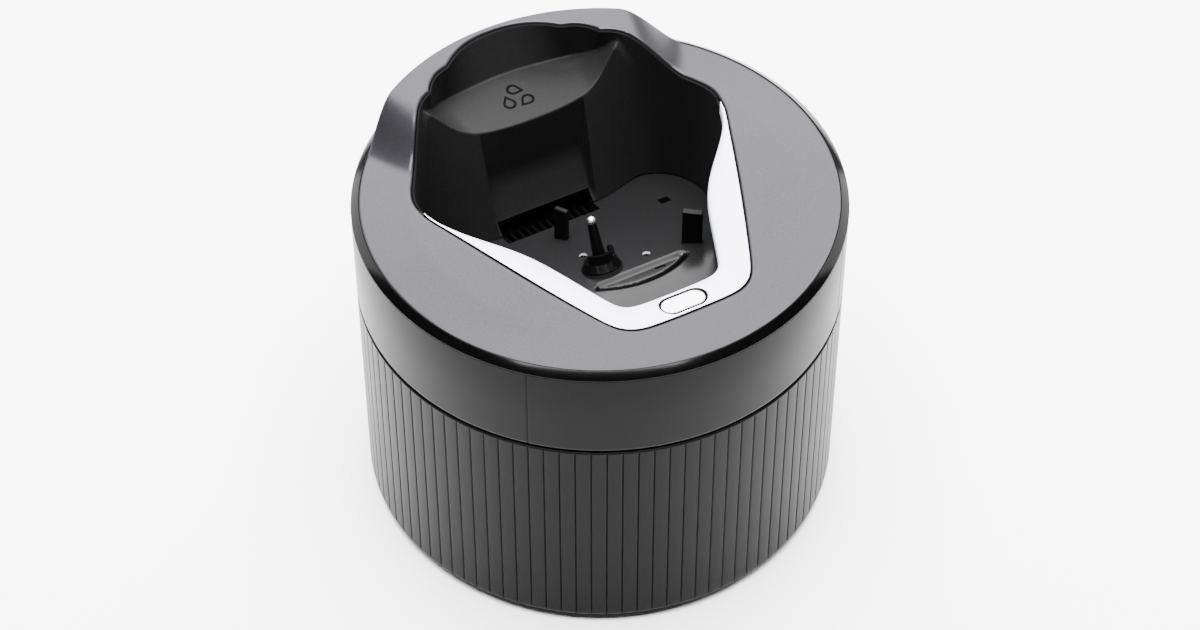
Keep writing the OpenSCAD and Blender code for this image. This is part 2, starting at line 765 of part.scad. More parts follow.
module spindle_shaft() {
    color([0.78, 0.78, 0.80]) on_spindle() difference() {
        union() {
            translate([0, 0, -pump_depth + 0.6])
                cylinder(r = shaft_r, h = pump_depth + 1.2, $fn = 48);
            translate([0, 0, shoulder])
                cylinder(r = pin_r, h = sleeve_h - shoulder, $fn = 32);
            // Domed tip, flat underneath.
            translate([0, 0, sleeve_h + 0.1]) intersection() {
                sphere(r = tip_r, $fn = 32);
                translate([-5, -5, -0.45]) cube([10, 10, 5]);
            }
        }
        tube(2, clip_r, clip_z, clip_z + 0.6);
    }
}

sleeve_low = 2.6;

module drive_sleeve() {
    color([0.06, 0.06, 0.065]) on_spindle() difference() {
        translate([0, 0, sleeve_low])
            cylinder(r1 = 1.75, r2 = 1.15, h = sleeve_h - 0.4 - sleeve_low, $fn = 40);
        translate([0, 0, 2]) cylinder(r = pin_r + 0.05, h = 20, $fn = 32);
    }
}

dog_r = 5.2;

module drive_dog() {
    color([0.05, 0.05, 0.055]) on_spindle() difference() {
        union() {
            translate([0, 0, 0.35]) cylinder(r = dog_r, h = 0.3, $fn = 48);
            translate([0, 0, 0.6])
                cylinder(r1 = dog_r - 0.05, r2 = dog_r - 0.9, h = 1.85, $fn = 48);
            // Half collar that the shaver's coupling turns against.
            rotate(20) intersection() {
                tube(dog_r - 1.15, dog_r - 2.1, 2, 4.8);
                translate([-5, -5, 1]) cube([10, 5, 6]);
            }
        }
        cylinder(r = shaft_r + 0.02, h = 1.85, $fn = 48);
        translate([0, 0, 1]) cylinder(r = pin_r + 0.02, h = 8, $fn = 32);
    }
}

module impeller() {
    color([0.85, 0.86, 0.88]) on_spindle() translate([0, 0, -pump_depth + 1]) difference() {
        union() {
            cylinder(r = 2.9, h = 6.2, $fn = 40);
            cylinder(r = 7.2, h = 0.9, $fn = 48);
            for (i = [0 : blade_count - 1]) rotate(i * 360 / blade_count)
                translate([2, -0.45, 0]) cube([5.2, 0.9, 5]);
        }
        translate([0, 0, -1]) cylinder(r = shaft_r + 0.02, h = 10, $fn = 48);
    }
}

module retaining_clip() {
    color([0.6, 0.6, 0.62]) on_spindle() difference() {
        tube(2.6, clip_r + 0.02, clip_z + 0.05, clip_z + 0.55);
        translate([0, -0.8, clip_z - 0.6]) cube([4, 1.6, 2]);
    }
}

// ---------- release ----------

stem_w = 3;
stem_t = 2.4;
stem_low = 61.5;
// Lower and upper faces of the latch bar.
bar_low = 60.4;
bar_high = 63.4;
// Flat flange under the trim that keeps the button in.
flange_z = ring_z - 2.9;
flange_t = 1.1;

module release_button() {
    y = -button_y;
    color([0.97, 0.97, 0.98]) {
        difference() {
            translate([0, y, flange_z + 1]) linear_extrude(3.0) stadium(button_l, button_w);
            // Shallow line to feel for.
            translate([-1.2, y - 0.2, ring_z + 1]) cube([2.4, 0.4, 1]);
        }
        translate([0, y, flange_z]) linear_extrude(flange_t)
            stadium(button_l + 2 * pill_gap + 1.4, button_w - 0.4);
        translate([0, y, stem_low]) rotate([90, 0, 90]) translate([0, 0, -stem_w / 2])
            linear_extrude(stem_w) polygon([
                [-stem_t / 2, 0], [stem_t / 2, stem_t], [stem_t / 2, ring_z - 2 - stem_low],
                [-stem_t / 2, ring_z - 2 - stem_low]
            ]);
    }
}

// A coil spring as a stack of rings, which reads as a spring and stays an exact solid.
module coil(r, wire, l, turns) {
    for (i = [0 : turns - 1])
        translate([0, 0, wire + (l - 2 * wire) * i / (turns - 1)])
            rotate_extrude($fn = 40) translate([r, 0]) circle(r = wire, $fn = 16);
}

guide_top = ring_z - 12.4;
spring_wire = 0.22;

module button_spring() {
    color([0.75, 0.75, 0.78]) translate([0, -button_y, guide_top + 0.1])
        coil(2.25, spring_wire, flange_z - guide_top - 0.2, 7);
}

module button_guide() {
    color([0.12, 0.12, 0.13]) difference() {
        union() {
            translate([-5, -button_y - 4, guide_top - 6]) cube([10, 6.8, 6]);
            translate([-9, -54, guide_top - 1.6]) cube([18, 15, 1.6]);
            for (s = [-1, 1]) translate([s * 7.5 - 1.5, -54, guide_top - 1])
                cube([3, 4, web_z - guide_top + 0.95]);
        }
        translate([-stem_w / 2 - 0.2, -button_y - stem_t / 2 - 0.2, guide_top - 8])
            cube([stem_w + 0.4, stem_t + 0.4, 12]);
    }
}

module latch_slide() {
    color([0.55, 0.56, 0.58]) rotate([90, 0, 90]) translate([0, 0, -5]) difference() {
        linear_extrude(10) polygon([
            [-60.3, bar_low], [-34, bar_low], [-34, bar_high], [-58.6, bar_high],
            [-60.3, bar_high - 1.2]
        ]);
        translate([0, 0, 2.6]) linear_extrude(4.8) polygon([
            [-46.4, bar_low - 1], [-45, bar_low - 1], [-40, bar_high + 1],
            [-46.4, bar_high + 1]
        ]);
    }
}

module latch_spring() {
    color([0.75, 0.75, 0.78]) translate([0, -33.9, (bar_low + bar_high) / 2])
        rotate([-90, 0, 0]) coil(1.2, spring_wire, 7.6, 7);
}

// Open channel that the latch bar slides in, closed at the back behind its spring.
channel_y = -56.2;
channel_l = 31.6;
channel_w = 14.8;
channel_low = bar_low - 1.7;
channel_h = 6.2;

module latch_guide() {
    color([0.12, 0.12, 0.13]) difference() {
        union() {
            translate([-channel_w / 2, channel_y, channel_low]) cube([channel_w, channel_l, 1.5]);
            for (s = [-1, 1]) translate([s * (channel_w / 2 - 1) - 1, channel_y, channel_low])
                cube([2, channel_l, channel_h]);
            translate([-channel_w / 2, channel_y + channel_l - 1.4, channel_low])
                cube([channel_w, 1.4, channel_h]);
        }
        translate([-3, -46.5, bar_low - 3]) cube([6, 8, 4]);
    }
}

base_cup();
bottom_plate();
rubber_feet();
bottom_screws();
cartridge_tub();
cartridge_lid();
cartridge_seal();
filter_frame();
filter_pad();
cover_plate();
trim_band();
black_ring();
collar_band();
top_chassis();
chassis_seal();
shaver_holder();
drops_icon();
drip_tray();
tray_seal();
tray_screws();
drain_grille();
jet_nozzles();
bearing_carrier();
pump_housing();
pump_strainer();
riser_tubes();
pump_screws();
upper_bush();
lower_bush();
shaft_seal();
drive_sleeve();
drive_dog();
spindle_shaft();
impeller();
retaining_clip();
release_button();
button_spring();
button_guide();
latch_slide();
latch_spring();
latch_guide();
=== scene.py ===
"""Cleaning pod for a cordless rotary shaver: the looks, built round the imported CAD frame."""

import json
import math

import bmesh
import bpy
import numpy as np
from mathutils import Matrix, Vector
from mathutils.bvhtree import BVHTree


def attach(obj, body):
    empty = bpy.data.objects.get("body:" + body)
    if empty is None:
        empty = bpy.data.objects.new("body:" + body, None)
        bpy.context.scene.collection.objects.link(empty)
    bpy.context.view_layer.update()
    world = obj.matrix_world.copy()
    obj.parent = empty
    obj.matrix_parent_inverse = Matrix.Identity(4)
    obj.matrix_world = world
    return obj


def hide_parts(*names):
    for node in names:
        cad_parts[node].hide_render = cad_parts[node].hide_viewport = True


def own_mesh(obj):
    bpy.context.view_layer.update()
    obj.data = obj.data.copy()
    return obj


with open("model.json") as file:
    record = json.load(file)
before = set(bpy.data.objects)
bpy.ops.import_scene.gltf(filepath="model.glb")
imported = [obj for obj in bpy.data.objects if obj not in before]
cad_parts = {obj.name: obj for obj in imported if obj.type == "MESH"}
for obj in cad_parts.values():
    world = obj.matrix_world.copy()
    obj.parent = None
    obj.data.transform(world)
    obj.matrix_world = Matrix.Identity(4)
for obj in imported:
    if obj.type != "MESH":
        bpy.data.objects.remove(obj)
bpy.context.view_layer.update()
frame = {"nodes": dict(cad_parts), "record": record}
nodes = frame["nodes"]
MM = 0.001

# ---------- sizes shared with the CAD model, in millimetres ----------

POD_R = 62.0
SEAM_Z = 66.3
RING_Z = 91.7
COVER_R = 59.8
EDGE_RISE = 1.7
SIDE_RISE = 1.4
HOOD_RISE = 10.2
PLATE_T = 1.8
SLOPE = math.tan(math.radians(16.5))
TRAY_DROP = -24.3
SHELF_Y = -12.0
PIN_Y = -1.1
SHELF_DROP = TRAY_DROP - SLOPE * (SHELF_Y - PIN_Y)
LEAN = math.radians(26)
BUTTON_Y = -41.8
BUTTON_L, BUTTON_W = 11.6, 5.6
PILL_GAP = 0.6
RIBS = 100


# ---------- curves ----------

def bow(p, q, h, n):
    """n points from p towards q, bowed outward by h at the middle, without q itself."""
    p, q = np.array(p, float), np.array(q, float)
    d = q - p
    out = np.array([d[1], -d[0]]) / np.hypot(*d)
    t = (np.arange(n) / n)[:, None]
    return p + d * t + out * 4 * h * t * (1 - t)


def smooth(t):
    u = np.clip(t, 0, 1)
    return u * u * (3 - 2 * u)


DENSE = 5          # visual points for each point of the CAD outline


def line(pieces, last):
    """A right half outline as dense points: pieces are (from, to, bow, CAD points)."""
    parts = [bow(p, q, h, n * DENSE) for p, q, h, n in pieces]
    return np.vstack(parts + [np.array([last], float)])


def whole(half):
    """The half and its mirror image as one closed outline."""
    left = half[-2:0:-1] * [-1, 1]
    return np.vstack([half, left])


def relax(pts, rounds, pinned=(), closed=True):
    """Rounds an outline's corners off, all but the pinned points."""
    pts = pts.copy()
    free = np.ones(len(pts), bool)
    free[list(pinned)] = False
    if not closed:
        free[[0, -1]] = False
    for _ in range(rounds):
        mid = (np.roll(pts, 1, 0) + 2 * pts + np.roll(pts, -1, 0)) / 4
        pts[free] = mid[free]
    return pts


OPENING_PIECES = [
    ([0, -46.2], [11.6, -46], 0, 4),
    ([11.6, -46], [20.4, -39.6], 1.6, 6),
    ([20.4, -39.6], [40.6, 6.9], 0.5, 12),
    ([40.6, 6.9], [42.6, 13.3], 0.4, 4),
    ([42.6, 13.3], [41.3, 22.2], 0.9, 5),
    ([41.3, 22.2], [30, 41], 0, 8),
    ([30, 41], [24.6, 45.2], 0.7, 4),
    ([24.6, 45.2], [16.6, 51.6], 1.3, 5),
    ([16.6, 51.6], [0, 58.2], 1.85, 8),
]
TRIM_PIECES = [
    ([0, -37], [9.5, -36.9], 0, 4),
    ([9.5, -36.9], [15.3, -32.4], 1.3, 6),
    ([15.3, -32.4], [22.4, -14.8], 0, 6),
    ([22.4, -14.8], [28.6, -5.4], -0.7, 3),
    ([28.6, -5.4], [37.2, 3.4], 0, 3),
    ([37.2, 3.4], [41.7, 12.6], 0.6, 4),
]
FLOOR_PIECES = [
    ([0, -36], [10, -36], 0, 4),
    ([10, -36], [17.8, -30], 1.5, 6),
    ([17.8, -30], [27.8, -9], 0, 6),
    ([27.8, -9], [33, 0], -0.3, 3),
    ([33, 0], [36.5, 6], 0, 3),
    ([36.5, 6], [38.8, 13], 0, 4),
    ([38.8, 13], [38.2, 24], 0.8, 5),
    ([38.2, 24], [30, 33], 1.4, 8),
    ([30, 33], [23, 30.6], 0, 4),
    ([23, 30.6], [15, 28.3], -0.5, 5),
    ([15, 28.3], [0, 28.3], 0, 8),
]

# Stations along the right half: the trim's tip, and where the side scallop starts.
TIP = sum(n for *_, n in TRIM_PIECES) * DENSE
CUSP = sum(n for *_, n in OPENING_PIECES[:7]) * DENSE

opening = whole(line(OPENING_PIECES, [0, 58.2]))
COUNT = len(opening)
BACK = COUNT // 2
opening = relax(opening, 60, range(CUSP, COUNT - CUSP + 1))
floor_line = relax(whole(line(FLOOR_PIECES, [0, 28.3])), 70)
trim_half = relax(line(TRIM_PIECES, [41.7, 12.6]), 90, closed=False)


EDGE_FADE = 12                         # width over which the cover levels out to its edge
FLANK_START, FLANK_END = 40, 57        # degrees from the side: the hood's flank at the edge
FLANK_TURN = (7, 3)                    # how far each turns back, away from the edge


def cover_rise(x, y):
    """Height of the cover above the ring's lower edge."""
    r = np.hypot(x, y)
    inward = np.clip((COVER_R - r) / EDGE_FADE, 0, 1)
    disc = EDGE_RISE + SIDE_RISE * smooth((y + 46) / 50) * inward
    start, end = FLANK_START - FLANK_TURN[0] * inward, FLANK_END - FLANK_TURN[1] * inward
    hood = smooth((np.degrees(np.arctan2(y, np.abs(x))) - start) / (end - start))
    return disc + (HOOD_RISE - disc) * hood


def trim_in_rise(y):
    """Height of the trim's inner edge above the ring's lower edge."""
    return 0.3 + 2.2 * smooth((y + 16) / 26)


def tray_rise(y):
    """Height of the tray: its slope behind, its level shelf in front."""
    return np.minimum(SHELF_DROP, TRAY_DROP - SLOPE * (y - PIN_Y))


def round_corner(before, here, after, cut, n):
    """n + 1 points round the corner at here, cut back by cut or by less than half a side."""
    a, b = before - here, after - here
    la, lb = np.linalg.norm(a), np.linalg.norm(b)
    pa = here + a / la * min(cut, la * 0.45)
    pb = here + b / lb * min(cut, lb * 0.45)
    out = []
    for k in range(n + 1):
        t = k / n
        out.append((1 - t) ** 2 * pa + 2 * t * (1 - t) * here + t * t * pb)
    return out


def fillet(pts, cuts, n):
    """Rounds the inner corners of a 3-D path: cuts[i] is how far back corner i is cut."""
    pts = [np.array(p, float) for p in pts]
    out = [pts[0]]
    for before, here, after, cut in zip(pts, pts[1:], pts[2:], cuts):
        out += round_corner(before, here, after, cut, n)
    out.append(pts[-1])
    return out


# ---------- meshes ----------

def finish_mesh(name, verts, faces, sharp=35):
    """A mesh object in metres from millimetre points, smooth but for its sharp edges."""
    mesh = bpy.data.meshes.new(name)
    mesh.from_pydata([tuple(np.array(v) * MM) for v in verts], [], faces)
    mesh.validate()
    bm = bmesh.new()
    bm.from_mesh(mesh)
    bmesh.ops.remove_doubles(bm, verts=bm.verts, dist=1e-7)
    bmesh.ops.recalc_face_normals(bm, faces=bm.faces)
    bm.to_mesh(mesh)
    bm.free()
    obj = bpy.data.objects.new(name, mesh)
    bpy.context.scene.collection.objects.link(obj)
    shade(obj, sharp)
    return obj


def shade(obj, sharp=35):
    mesh = obj.data
    mesh.polygons.foreach_set("use_smooth", [True] * len(mesh.polygons))
    bm = bmesh.new()
    bm.from_mesh(mesh)
    limit = math.radians(sharp)
    for e in bm.edges:
        e.smooth = len(e.link_faces) != 2 or e.calc_face_angle(0) < limit
    bm.to_mesh(mesh)
    bm.free()


def skin(name, slices, closed=True, sharp=35):
    """Skins closed slices of equal length into one solid; open rows of slices get end caps."""
    k = len(slices[0])
    n = len(slices)
    verts = [v for s in slices for v in s]
    faces = []
    for i in range(n if closed else n - 1):
        a, b = i * k, ((i + 1) % n) * k
        for j in range(k):
            m = (j + 1) % k
            faces.append((a + j, a + m, b + m, b + j))
    if not closed:
        faces.append(tuple(range(k - 1, -1, -1)))
        faces.append(tuple((n - 1) * k + j for j in range(k)))
    return finish_mesh(name, verts, faces, sharp)


def lathe(name, profile, steps=256, radius=None, sharp=35):
    """A closed (r, z) profile turned round the axis. radius(r, z, angle) may change r."""
    slices = []
    for i in range(steps):
        a = 2 * math.pi * i / steps
        ring = []
        for r, z in profile:
            rr = radius(r, z, a) if radius else r
            ring.append((rr * math.cos(a), rr * math.sin(a), z))
        slices.append(ring)
    return skin(name, slices, True, sharp)


def rounded(points, cut, n=4):
    """A closed 2-D profile with every corner rounded by cut."""
    pts = [np.array(p, float) for p in points]
    out = []
    for i, here in enumerate(pts):
        points_round = round_corner(pts[i - 1], here, pts[(i + 1) % len(pts)], cut, n)
        out += [tuple(p) for p in points_round]
    return out


def combine(obj, other, operation):
    """Joins the other solid to obj (UNION) or cuts it away (DIFFERENCE), then removes it."""
    mod = obj.modifiers.new("combine", "BOOLEAN")
    mod.object = other
    mod.operation = operation
    mod.solver = "EXACT"
    deps = bpy.context.evaluated_depsgraph_get()
    mesh = bpy.data.meshes.new_from_object(obj.evaluated_get(deps))
    obj.modifiers.remove(mod)
    obj.data = mesh
    bpy.data.objects.remove(other)


def cut_away(obj, cutter):
    combine(obj, cutter, "DIFFERENCE")


def prism(name, outline, z0, z1):
    """An upright solid over a 2-D outline."""
    n = len(outline)
    verts = [(x, y, z0) for x, y in outline] + [(x, y, z1) for x, y in outline]
    faces = [tuple(range(n - 1, -1, -1)), tuple(range(n, 2 * n))]
    faces += [(i, (i + 1) % n, n + (i + 1) % n, n + i) for i in range(n)]
    return finish_mesh(name, verts, faces)


def joined(objects):
    """One object made of several."""
    target = objects[0]
    bm = bmesh.new()
    for obj in objects:
        bm.from_mesh(obj.data)
    bm.to_mesh(target.data)
    bm.free()
    for obj in objects[1:]:
        bpy.data.objects.remove(obj)
    return target


def circle(x, y, r, n=40):
    return [(x + r * math.cos(2 * math.pi * k / n), y + r * math.sin(2 * math.pi * k / n))
            for k in range(n)]


def box_outline(x, y, w, d, turn):
    """A rectangle w by d with its corner at (x, y), turned by turn degrees."""
    c, s = math.cos(math.radians(turn)), math.sin(math.radians(turn))
    return [(x + a * c - b * s, y + a * s + b * c) for a, b in ((0, 0), (w, 0), (w, d), (0, d))]


def stadium(l, w, n=24):
    """Outline of a stadium l long and w wide."""
    out = []
    for s, a0 in ((1, -90), (-1, 90)):
        for k in range(n + 1):
            a = math.radians(a0 + 180 * k / n)
            out.append((s * (l - w) / 2 + w / 2 * math.cos(a), w / 2 * math.sin(a)))
    return out


# ---------- materials ----------

def new_material(name):
    mat = bpy.data.materials.new(name)
    mat.use_nodes = True
    tree = mat.node_tree
    shader = tree.nodes["Principled BSDF"]
    return mat, tree, shader


def noise(tree, scale, detail=3.0):
    """Noise fixed to the object, so it moves with it."""
    coord = tree.nodes.new("ShaderNodeTexCoord")
    tex = tree.nodes.new("ShaderNodeTexNoise")
    tex.inputs["Scale"].default_value = scale
    tex.inputs["Detail"].default_value = detail
    tex.inputs["Roughness"].default_value = 0.5
    tree.links.new(coord.outputs["Object"], tex.inputs["Vector"])
    return tex


def ramp(tree, source, low, high):
    """The middle of the source's range as a colour from low to high."""
    node = tree.nodes.new("ShaderNodeValToRGB")
    node.color_ramp.elements[0].position = 0.35
    node.color_ramp.elements[1].position = 0.65
    node.color_ramp.elements[0].color = (*low, 1)
    node.color_ramp.elements[1].color = (*high, 1)
    tree.links.new(source, node.inputs["Fac"])
    return node


BROAD_GRAIN = 45                       # scale of the slow change in gloss


def surface(name, colour, rough, vary, grain, metallic=0.0, bump=0.0, rough_vary=0.05,
            coat=0.0, specular=0.5, bump_mm=0.02):
    """A moulded or painted surface: fine grain in colour, gloss and height.

    vary and rough_vary are how far colour and roughness stray, grain is the noise's scale.
    """
    mat, tree, shader = new_material(name)
    c = np.array(colour, float)
    fine = noise(tree, grain)
    light = np.minimum(c * (1 + vary), 1)
    tint = ramp(tree, fine.outputs["Fac"], tuple(c * (1 - vary)), tuple(light))
    tree.links.new(tint.outputs["Color"], shader.inputs["Base Color"])
    broad = noise(tree, BROAD_GRAIN, 2.0)
    gloss = tree.nodes.new("ShaderNodeMapRange")
    gloss.inputs["To Min"].default_value = rough - rough_vary
    gloss.inputs["To Max"].default_value = rough + rough_vary
    tree.links.new(broad.outputs["Fac"], gloss.inputs["Value"])
    tree.links.new(gloss.outputs["Result"], shader.inputs["Roughness"])
    shader.inputs["Metallic"].default_value = metallic
    shader.inputs["Specular IOR Level"].default_value = specular
    shader.inputs["Coat Weight"].default_value = coat
    shader.inputs["Coat Roughness"].default_value = 0.1
    if bump:
        node = tree.nodes.new("ShaderNodeBump")
        node.inputs["Strength"].default_value = bump
        node.inputs["Distance"].default_value = bump_mm * MM
        tree.links.new(fine.outputs["Fac"], node.inputs["Height"])
        tree.links.new(node.outputs["Normal"], shader.inputs["Normal"])
    return mat


MATS = {
    "grey_metallic": surface("grey_metallic_paint", (0.0195, 0.019, 0.0228), 0.31, metallic=0.68,
                             vary=0.14, grain=2600, bump=0.3, rough_vary=0.03, specular=0.3),
    "pearl": surface("pearl_trim", (0.74, 0.74, 0.90), 0.24, vary=0.01, grain=1200, bump=0.05,
                     rough_vary=0.02, coat=0.3),
    "gloss_black": surface("gloss_black_ring", (0.0006, 0.0006, 0.0006), 0.14, vary=0.2, grain=900,
                           rough_vary=0.02, specular=0.12),
    "band_grey": surface("band_satin", (0.0021, 0.0021, 0.0022), 0.33, vary=0.05, grain=2200,
                         bump=0.12, rough_vary=0.03, specular=0.045),
    "base_grey": surface("base_ribbed", (0.0027, 0.0027, 0.0028), 0.36, vary=0.06, grain=2200,
                         bump=0.15, rough_vary=0.03, specular=0.045),
    "black_satin": surface("black_satin_moulding", (0.0072, 0.0072, 0.0074), 0.42, vary=0.12,
                           grain=1800, bump=0.12, specular=0.05),
    "tray_grey": surface("tray_satin", (0.0065, 0.0065, 0.0068), 0.24, vary=0.08, grain=1800,
                         bump=0.12, specular=0.12),
    "button_white": surface("button_gloss", (0.90, 0.90, 0.91), 0.28, vary=0.01, grain=1200,
                            rough_vary=0.02),
    "steel": surface("bright_steel", (0.62, 0.62, 0.64), 0.28, metallic=1, vary=0.05, grain=3000,
                     bump=0.1),
    "bush_brass": surface("sintered_brass", (0.60, 0.43, 0.20), 0.42, metallic=1, vary=0.15,
                          grain=4000, bump=0.5),
    "rubber_black": surface("black_rubber", (0.018, 0.018, 0.018), 0.75, vary=0.15, grain=1500,
                            bump=0.4),
    "seal_blue": surface("blue_seal_rubber", (0.03, 0.12, 0.35), 0.6, vary=0.1, grain=1500,
                         bump=0.3),
    "cartridge_white": surface("milky_plastic", (0.66, 0.70, 0.74), 0.34, vary=0.03, grain=900,
                               bump=0.05),
    "filter_felt": surface("filter_felt", (0.03, 0.03, 0.03), 0.9, vary=0.22, grain=1400,
                           bump=0.9, bump_mm=0.25),
    "icon_ink": surface("icon_print", (0.0006, 0.0006, 0.0006), 0.6, vary=0.2, grain=1500,
                        bump=0.1, specular=0.02),
}

# Blacks that have no slot of their own: a painted-shade black for gaps, grooves and recesses, a matt
# moulding and a polished one.
PAINTED_SHADE = surface("painted_shade_black", (0.0012, 0.0012, 0.0012), 0.6, vary=0.1, grain=1800, bump=0.1,
               specular=0.03)
MATT = surface("black_matt", (0.0028, 0.0028, 0.0028), 0.45, vary=0.1, grain=1800, bump=0.1,
               specular=0.05)
GLOSSY = surface("black_polished", (0.0012, 0.0012, 0.0012), 0.20, vary=0.1, grain=1800,
                 bump=0.08, rough_vary=0.03, specular=0.22)


def dress_nodes():
    """Gives every CAD node its slot's material; the drain grille gets painted shade, and the drive
    sleeve and dog a polished black.
    """
    slot_of = {s["node"]: s["material_slot"] for s in frame["record"]["subparts"]}
    for name, obj in nodes.items():
        for slot in obj.material_slots:
            slot.material = MATS[slot_of[name]]
        if not obj.material_slots:
            obj.data.materials.append(MATS[slot_of[name]])
    # Painted shade: the drain grille takes the shade black so its slot reads as a dark hole.
    nodes["drain_grille"].material_slots[0].material = PAINTED_SHADE
    for name in ("drive_sleeve", "drive_dog"):
        nodes[name].material_slots[0].material = GLOSSY


dress_nodes()


# How far the edges of CAD nodes are rounded, in millimetres.
BEVELS = {
    "drive_dog": 0.22,
    "bearing_carrier": 0.15,
    "drive_sleeve": 0.15,
    "impeller": 0.15,
    "pump_housing": 0.3,
    "bottom_plate": 0.25,
    "rubber_feet": 0.3,
    "cartridge_tub": 0.3,
    "cartridge_lid": 0.3,
    "filter_frame": 0.2,
    "latch_slide": 0.2,
    "latch_guide": 0.2,
    "button_guide": 0.2,
    "drain_grille": 0.15,
}


def round_edges(obj, width, segments, angle):
    """Rounds obj's edges that are sharper than angle degrees, by a modifier."""
    mod = obj.modifiers.new("edges", "BEVEL")
    mod.width = width * MM
    mod.segments = segments
    mod.limit_method = "ANGLE"
    mod.angle_limit = math.radians(angle)


for name, width in BEVELS.items():
    round_edges(nodes[name], width, 3, 40)


def place(obj, slot_name, body, *replaced):
    """Gives a new piece its material and body, and hides the CAD nodes that it stands for."""
    obj.data.materials.clear()
    obj.data.materials.append(MATS[slot_name])
    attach(obj, body)
    if replaced:
        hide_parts(*replaced)
    return obj


def surface_finder(obj):
    """A function giving the height in millimetres of obj's top at a plan point."""
    tree = BVHTree.FromPolygons([v.co for v in obj.data.vertices],
                                [list(f.vertices) for f in obj.data.polygons])

    def height(x, y):
        hit = tree.ray_cast(Vector((x * MM, y * MM, (RING_Z + 6) * MM)), Vector((0, 0, -1)))
        return hit[0].z / MM
    return height


# ---------- cover ----------

def cover_slice(p):
    """The cover cut from the opening's rim at p outward: top, outer edge and underside."""
    r = math.hypot(*p)
    u = p / r
    rim = 0.7
    top_r = np.linspace(r + rim, COVER_R - 0.6, 22)
    z_rim = RING_Z + cover_rise(*p)
    edge = u * COVER_R
    z_edge = RING_Z + cover_rise(*edge)
    skirt_r = max(58.4, r + 0.1)
    out = [(p, z_rim - PLATE_T), (p, z_rim - 0.9), (p, z_rim - 0.6),
           (p + u * 0.1, z_rim - 0.36), (p + u * 0.36, z_rim - 0.1)]
    for rr in top_r:
        q = u * rr
        out.append((q, RING_Z + cover_rise(*q)))
    out += [(u * (COVER_R - 0.12), z_edge - 0.02), (u * (COVER_R - 0.03), z_edge - 0.1),
            (edge, z_edge - 0.25)]
    out += [(edge, RING_Z + 1.1), (edge, RING_Z + 0.5), (u * skirt_r, RING_Z + 0.5)]
    below_r = max(r + 0.05, 58.3)
    for t in (1, 0.7, 0.4, 0.15):
        q = p + (u * below_r - p) * t
        out.append((q, RING_Z + cover_rise(*q) - PLATE_T))
    return [(q[0], q[1], z) for q, z in out]


cover = skin("cover_shell", [cover_slice(p) for p in opening])
place(cover, "grey_metallic", "top", "cover_plate")


# ---------- trim ----------

TRIM_GAP = 0.35                        # between the cover's rim and the trim
TRIM_DEEP = 2.7                        # how far the trim's inner lip hangs down
TRIM_ROLL = 1.3                        # width of its rounded inner edge and of the lip


def trim_slice(p, q):
    """The trim cut from the cover's rim at p to its inner edge at q."""
    r = math.hypot(*p)
    a = p * (1 - TRIM_GAP / r)
    za = RING_Z + cover_rise(*p) - 0.1
    zb = RING_Z + trim_in_rise(q[1])
    d = q - a
    w = max(np.linalg.norm(d), 0.3)
    u = d / w

    def at(s, drop=0.0):
        xy = a + u * s
        return (xy[0], xy[1], za + (zb - za) * s / w - drop)

    roll = min(TRIM_ROLL, w * 0.4)
    crown = min(0.35, w * 0.05)
    out = [at(0, 1.7), at(0, 0.2), at(min(0.06, w * 0.1), 0.06), at(min(0.2, w * 0.2))]
    for t in np.linspace(0.12, 1, 9)[:-1]:
        s = min(0.2, w * 0.2) + (w - roll - 0.2) * t
        xy = a + u * s
        lift = crown * 4 * t * (1 - t)
        out.append((xy[0], xy[1], za + (zb - za) * s / w + lift))
    for k in range(6):
        g = math.radians(90 * k / 5)
        out.append(at(w - roll * (1 - math.sin(g)), roll * 0.75 * (1 - math.cos(g))))
    out.append((q[0], q[1], zb - TRIM_DEEP))
    lip = q - u * min(TRIM_ROLL, w * 0.5)
    out.append((lip[0], lip[1], zb - TRIM_DEEP))
    out.append((lip[0], lip[1], zb - TRIM_DEEP + 1))
    return out


def near_pill(x, y):
    """How far a plan point lies outside the pill's middle line, in millimetres."""
    half_line = (BUTTON_L - BUTTON_W) / 2
    return math.hypot(max(abs(x) - half_line, 0), y - BUTTON_Y)


def make_trim():
    """The trim with the button's hole cut through it."""
    right = [trim_slice(opening[i], trim_half[i]) for i in range(TIP + 1)]
    left = [[(-x, y, z) for x, y, z in s] for s in right[:0:-1]]
    trim = skin("trim_shell", left + right, closed=False)
    pill_outline = stadium(BUTTON_L + 2 * PILL_GAP, BUTTON_W + 2 * PILL_GAP)
    hole = prism("pill_hole", [(x, y + BUTTON_Y) for x, y in pill_outline],
                 RING_Z - 6, RING_Z + 6)
    cut_away(trim, hole)
    shade(trim, 35)
    place(trim, "pearl", "top", "trim_band")
    trim.data.materials.append(MATS["black_satin"])
    # The walls of the button's hole and of the trim's outer side are painted black as painted shade, so
    # both gaps read as dark lines.
    for face in trim.data.polygons:
        centre = face.center / MM
        in_hole = near_pill(centre.x, centre.y) < BUTTON_W / 2 + PILL_GAP + 0.05
        outward = Vector((centre.x, centre.y, 0)).normalized().dot(face.normal) > 0.5
        if (in_hole or outward) and abs(face.normal.z) < 0.75:
            face.material_index = 1
    return trim


trim = make_trim()


# ---------- button ----------

reach = BUTTON_W / 2 + PILL_GAP + 0.25
trim_height = surface_finder(trim)
front_z = trim_height(0, BUTTON_Y - reach) - RING_Z
back_z = trim_height(0, BUTTON_Y + reach) - RING_Z
TRIM_TILT = (front_z - back_z) / (2 * reach)
TRIM_AT_PILL = (front_z + back_z) / 2


def pill_loop(inset, z, tilted=True):
    """A loop round the button, inset from its outline, z above the trim or else above the ring."""
    out = []
    for x, y in stadium(BUTTON_L - 2 * inset, BUTTON_W - 2 * inset):
        lift = TRIM_AT_PILL - TRIM_TILT * y if tilted else 0
        out.append((x, y + BUTTON_Y, RING_Z + z + lift))
    return out


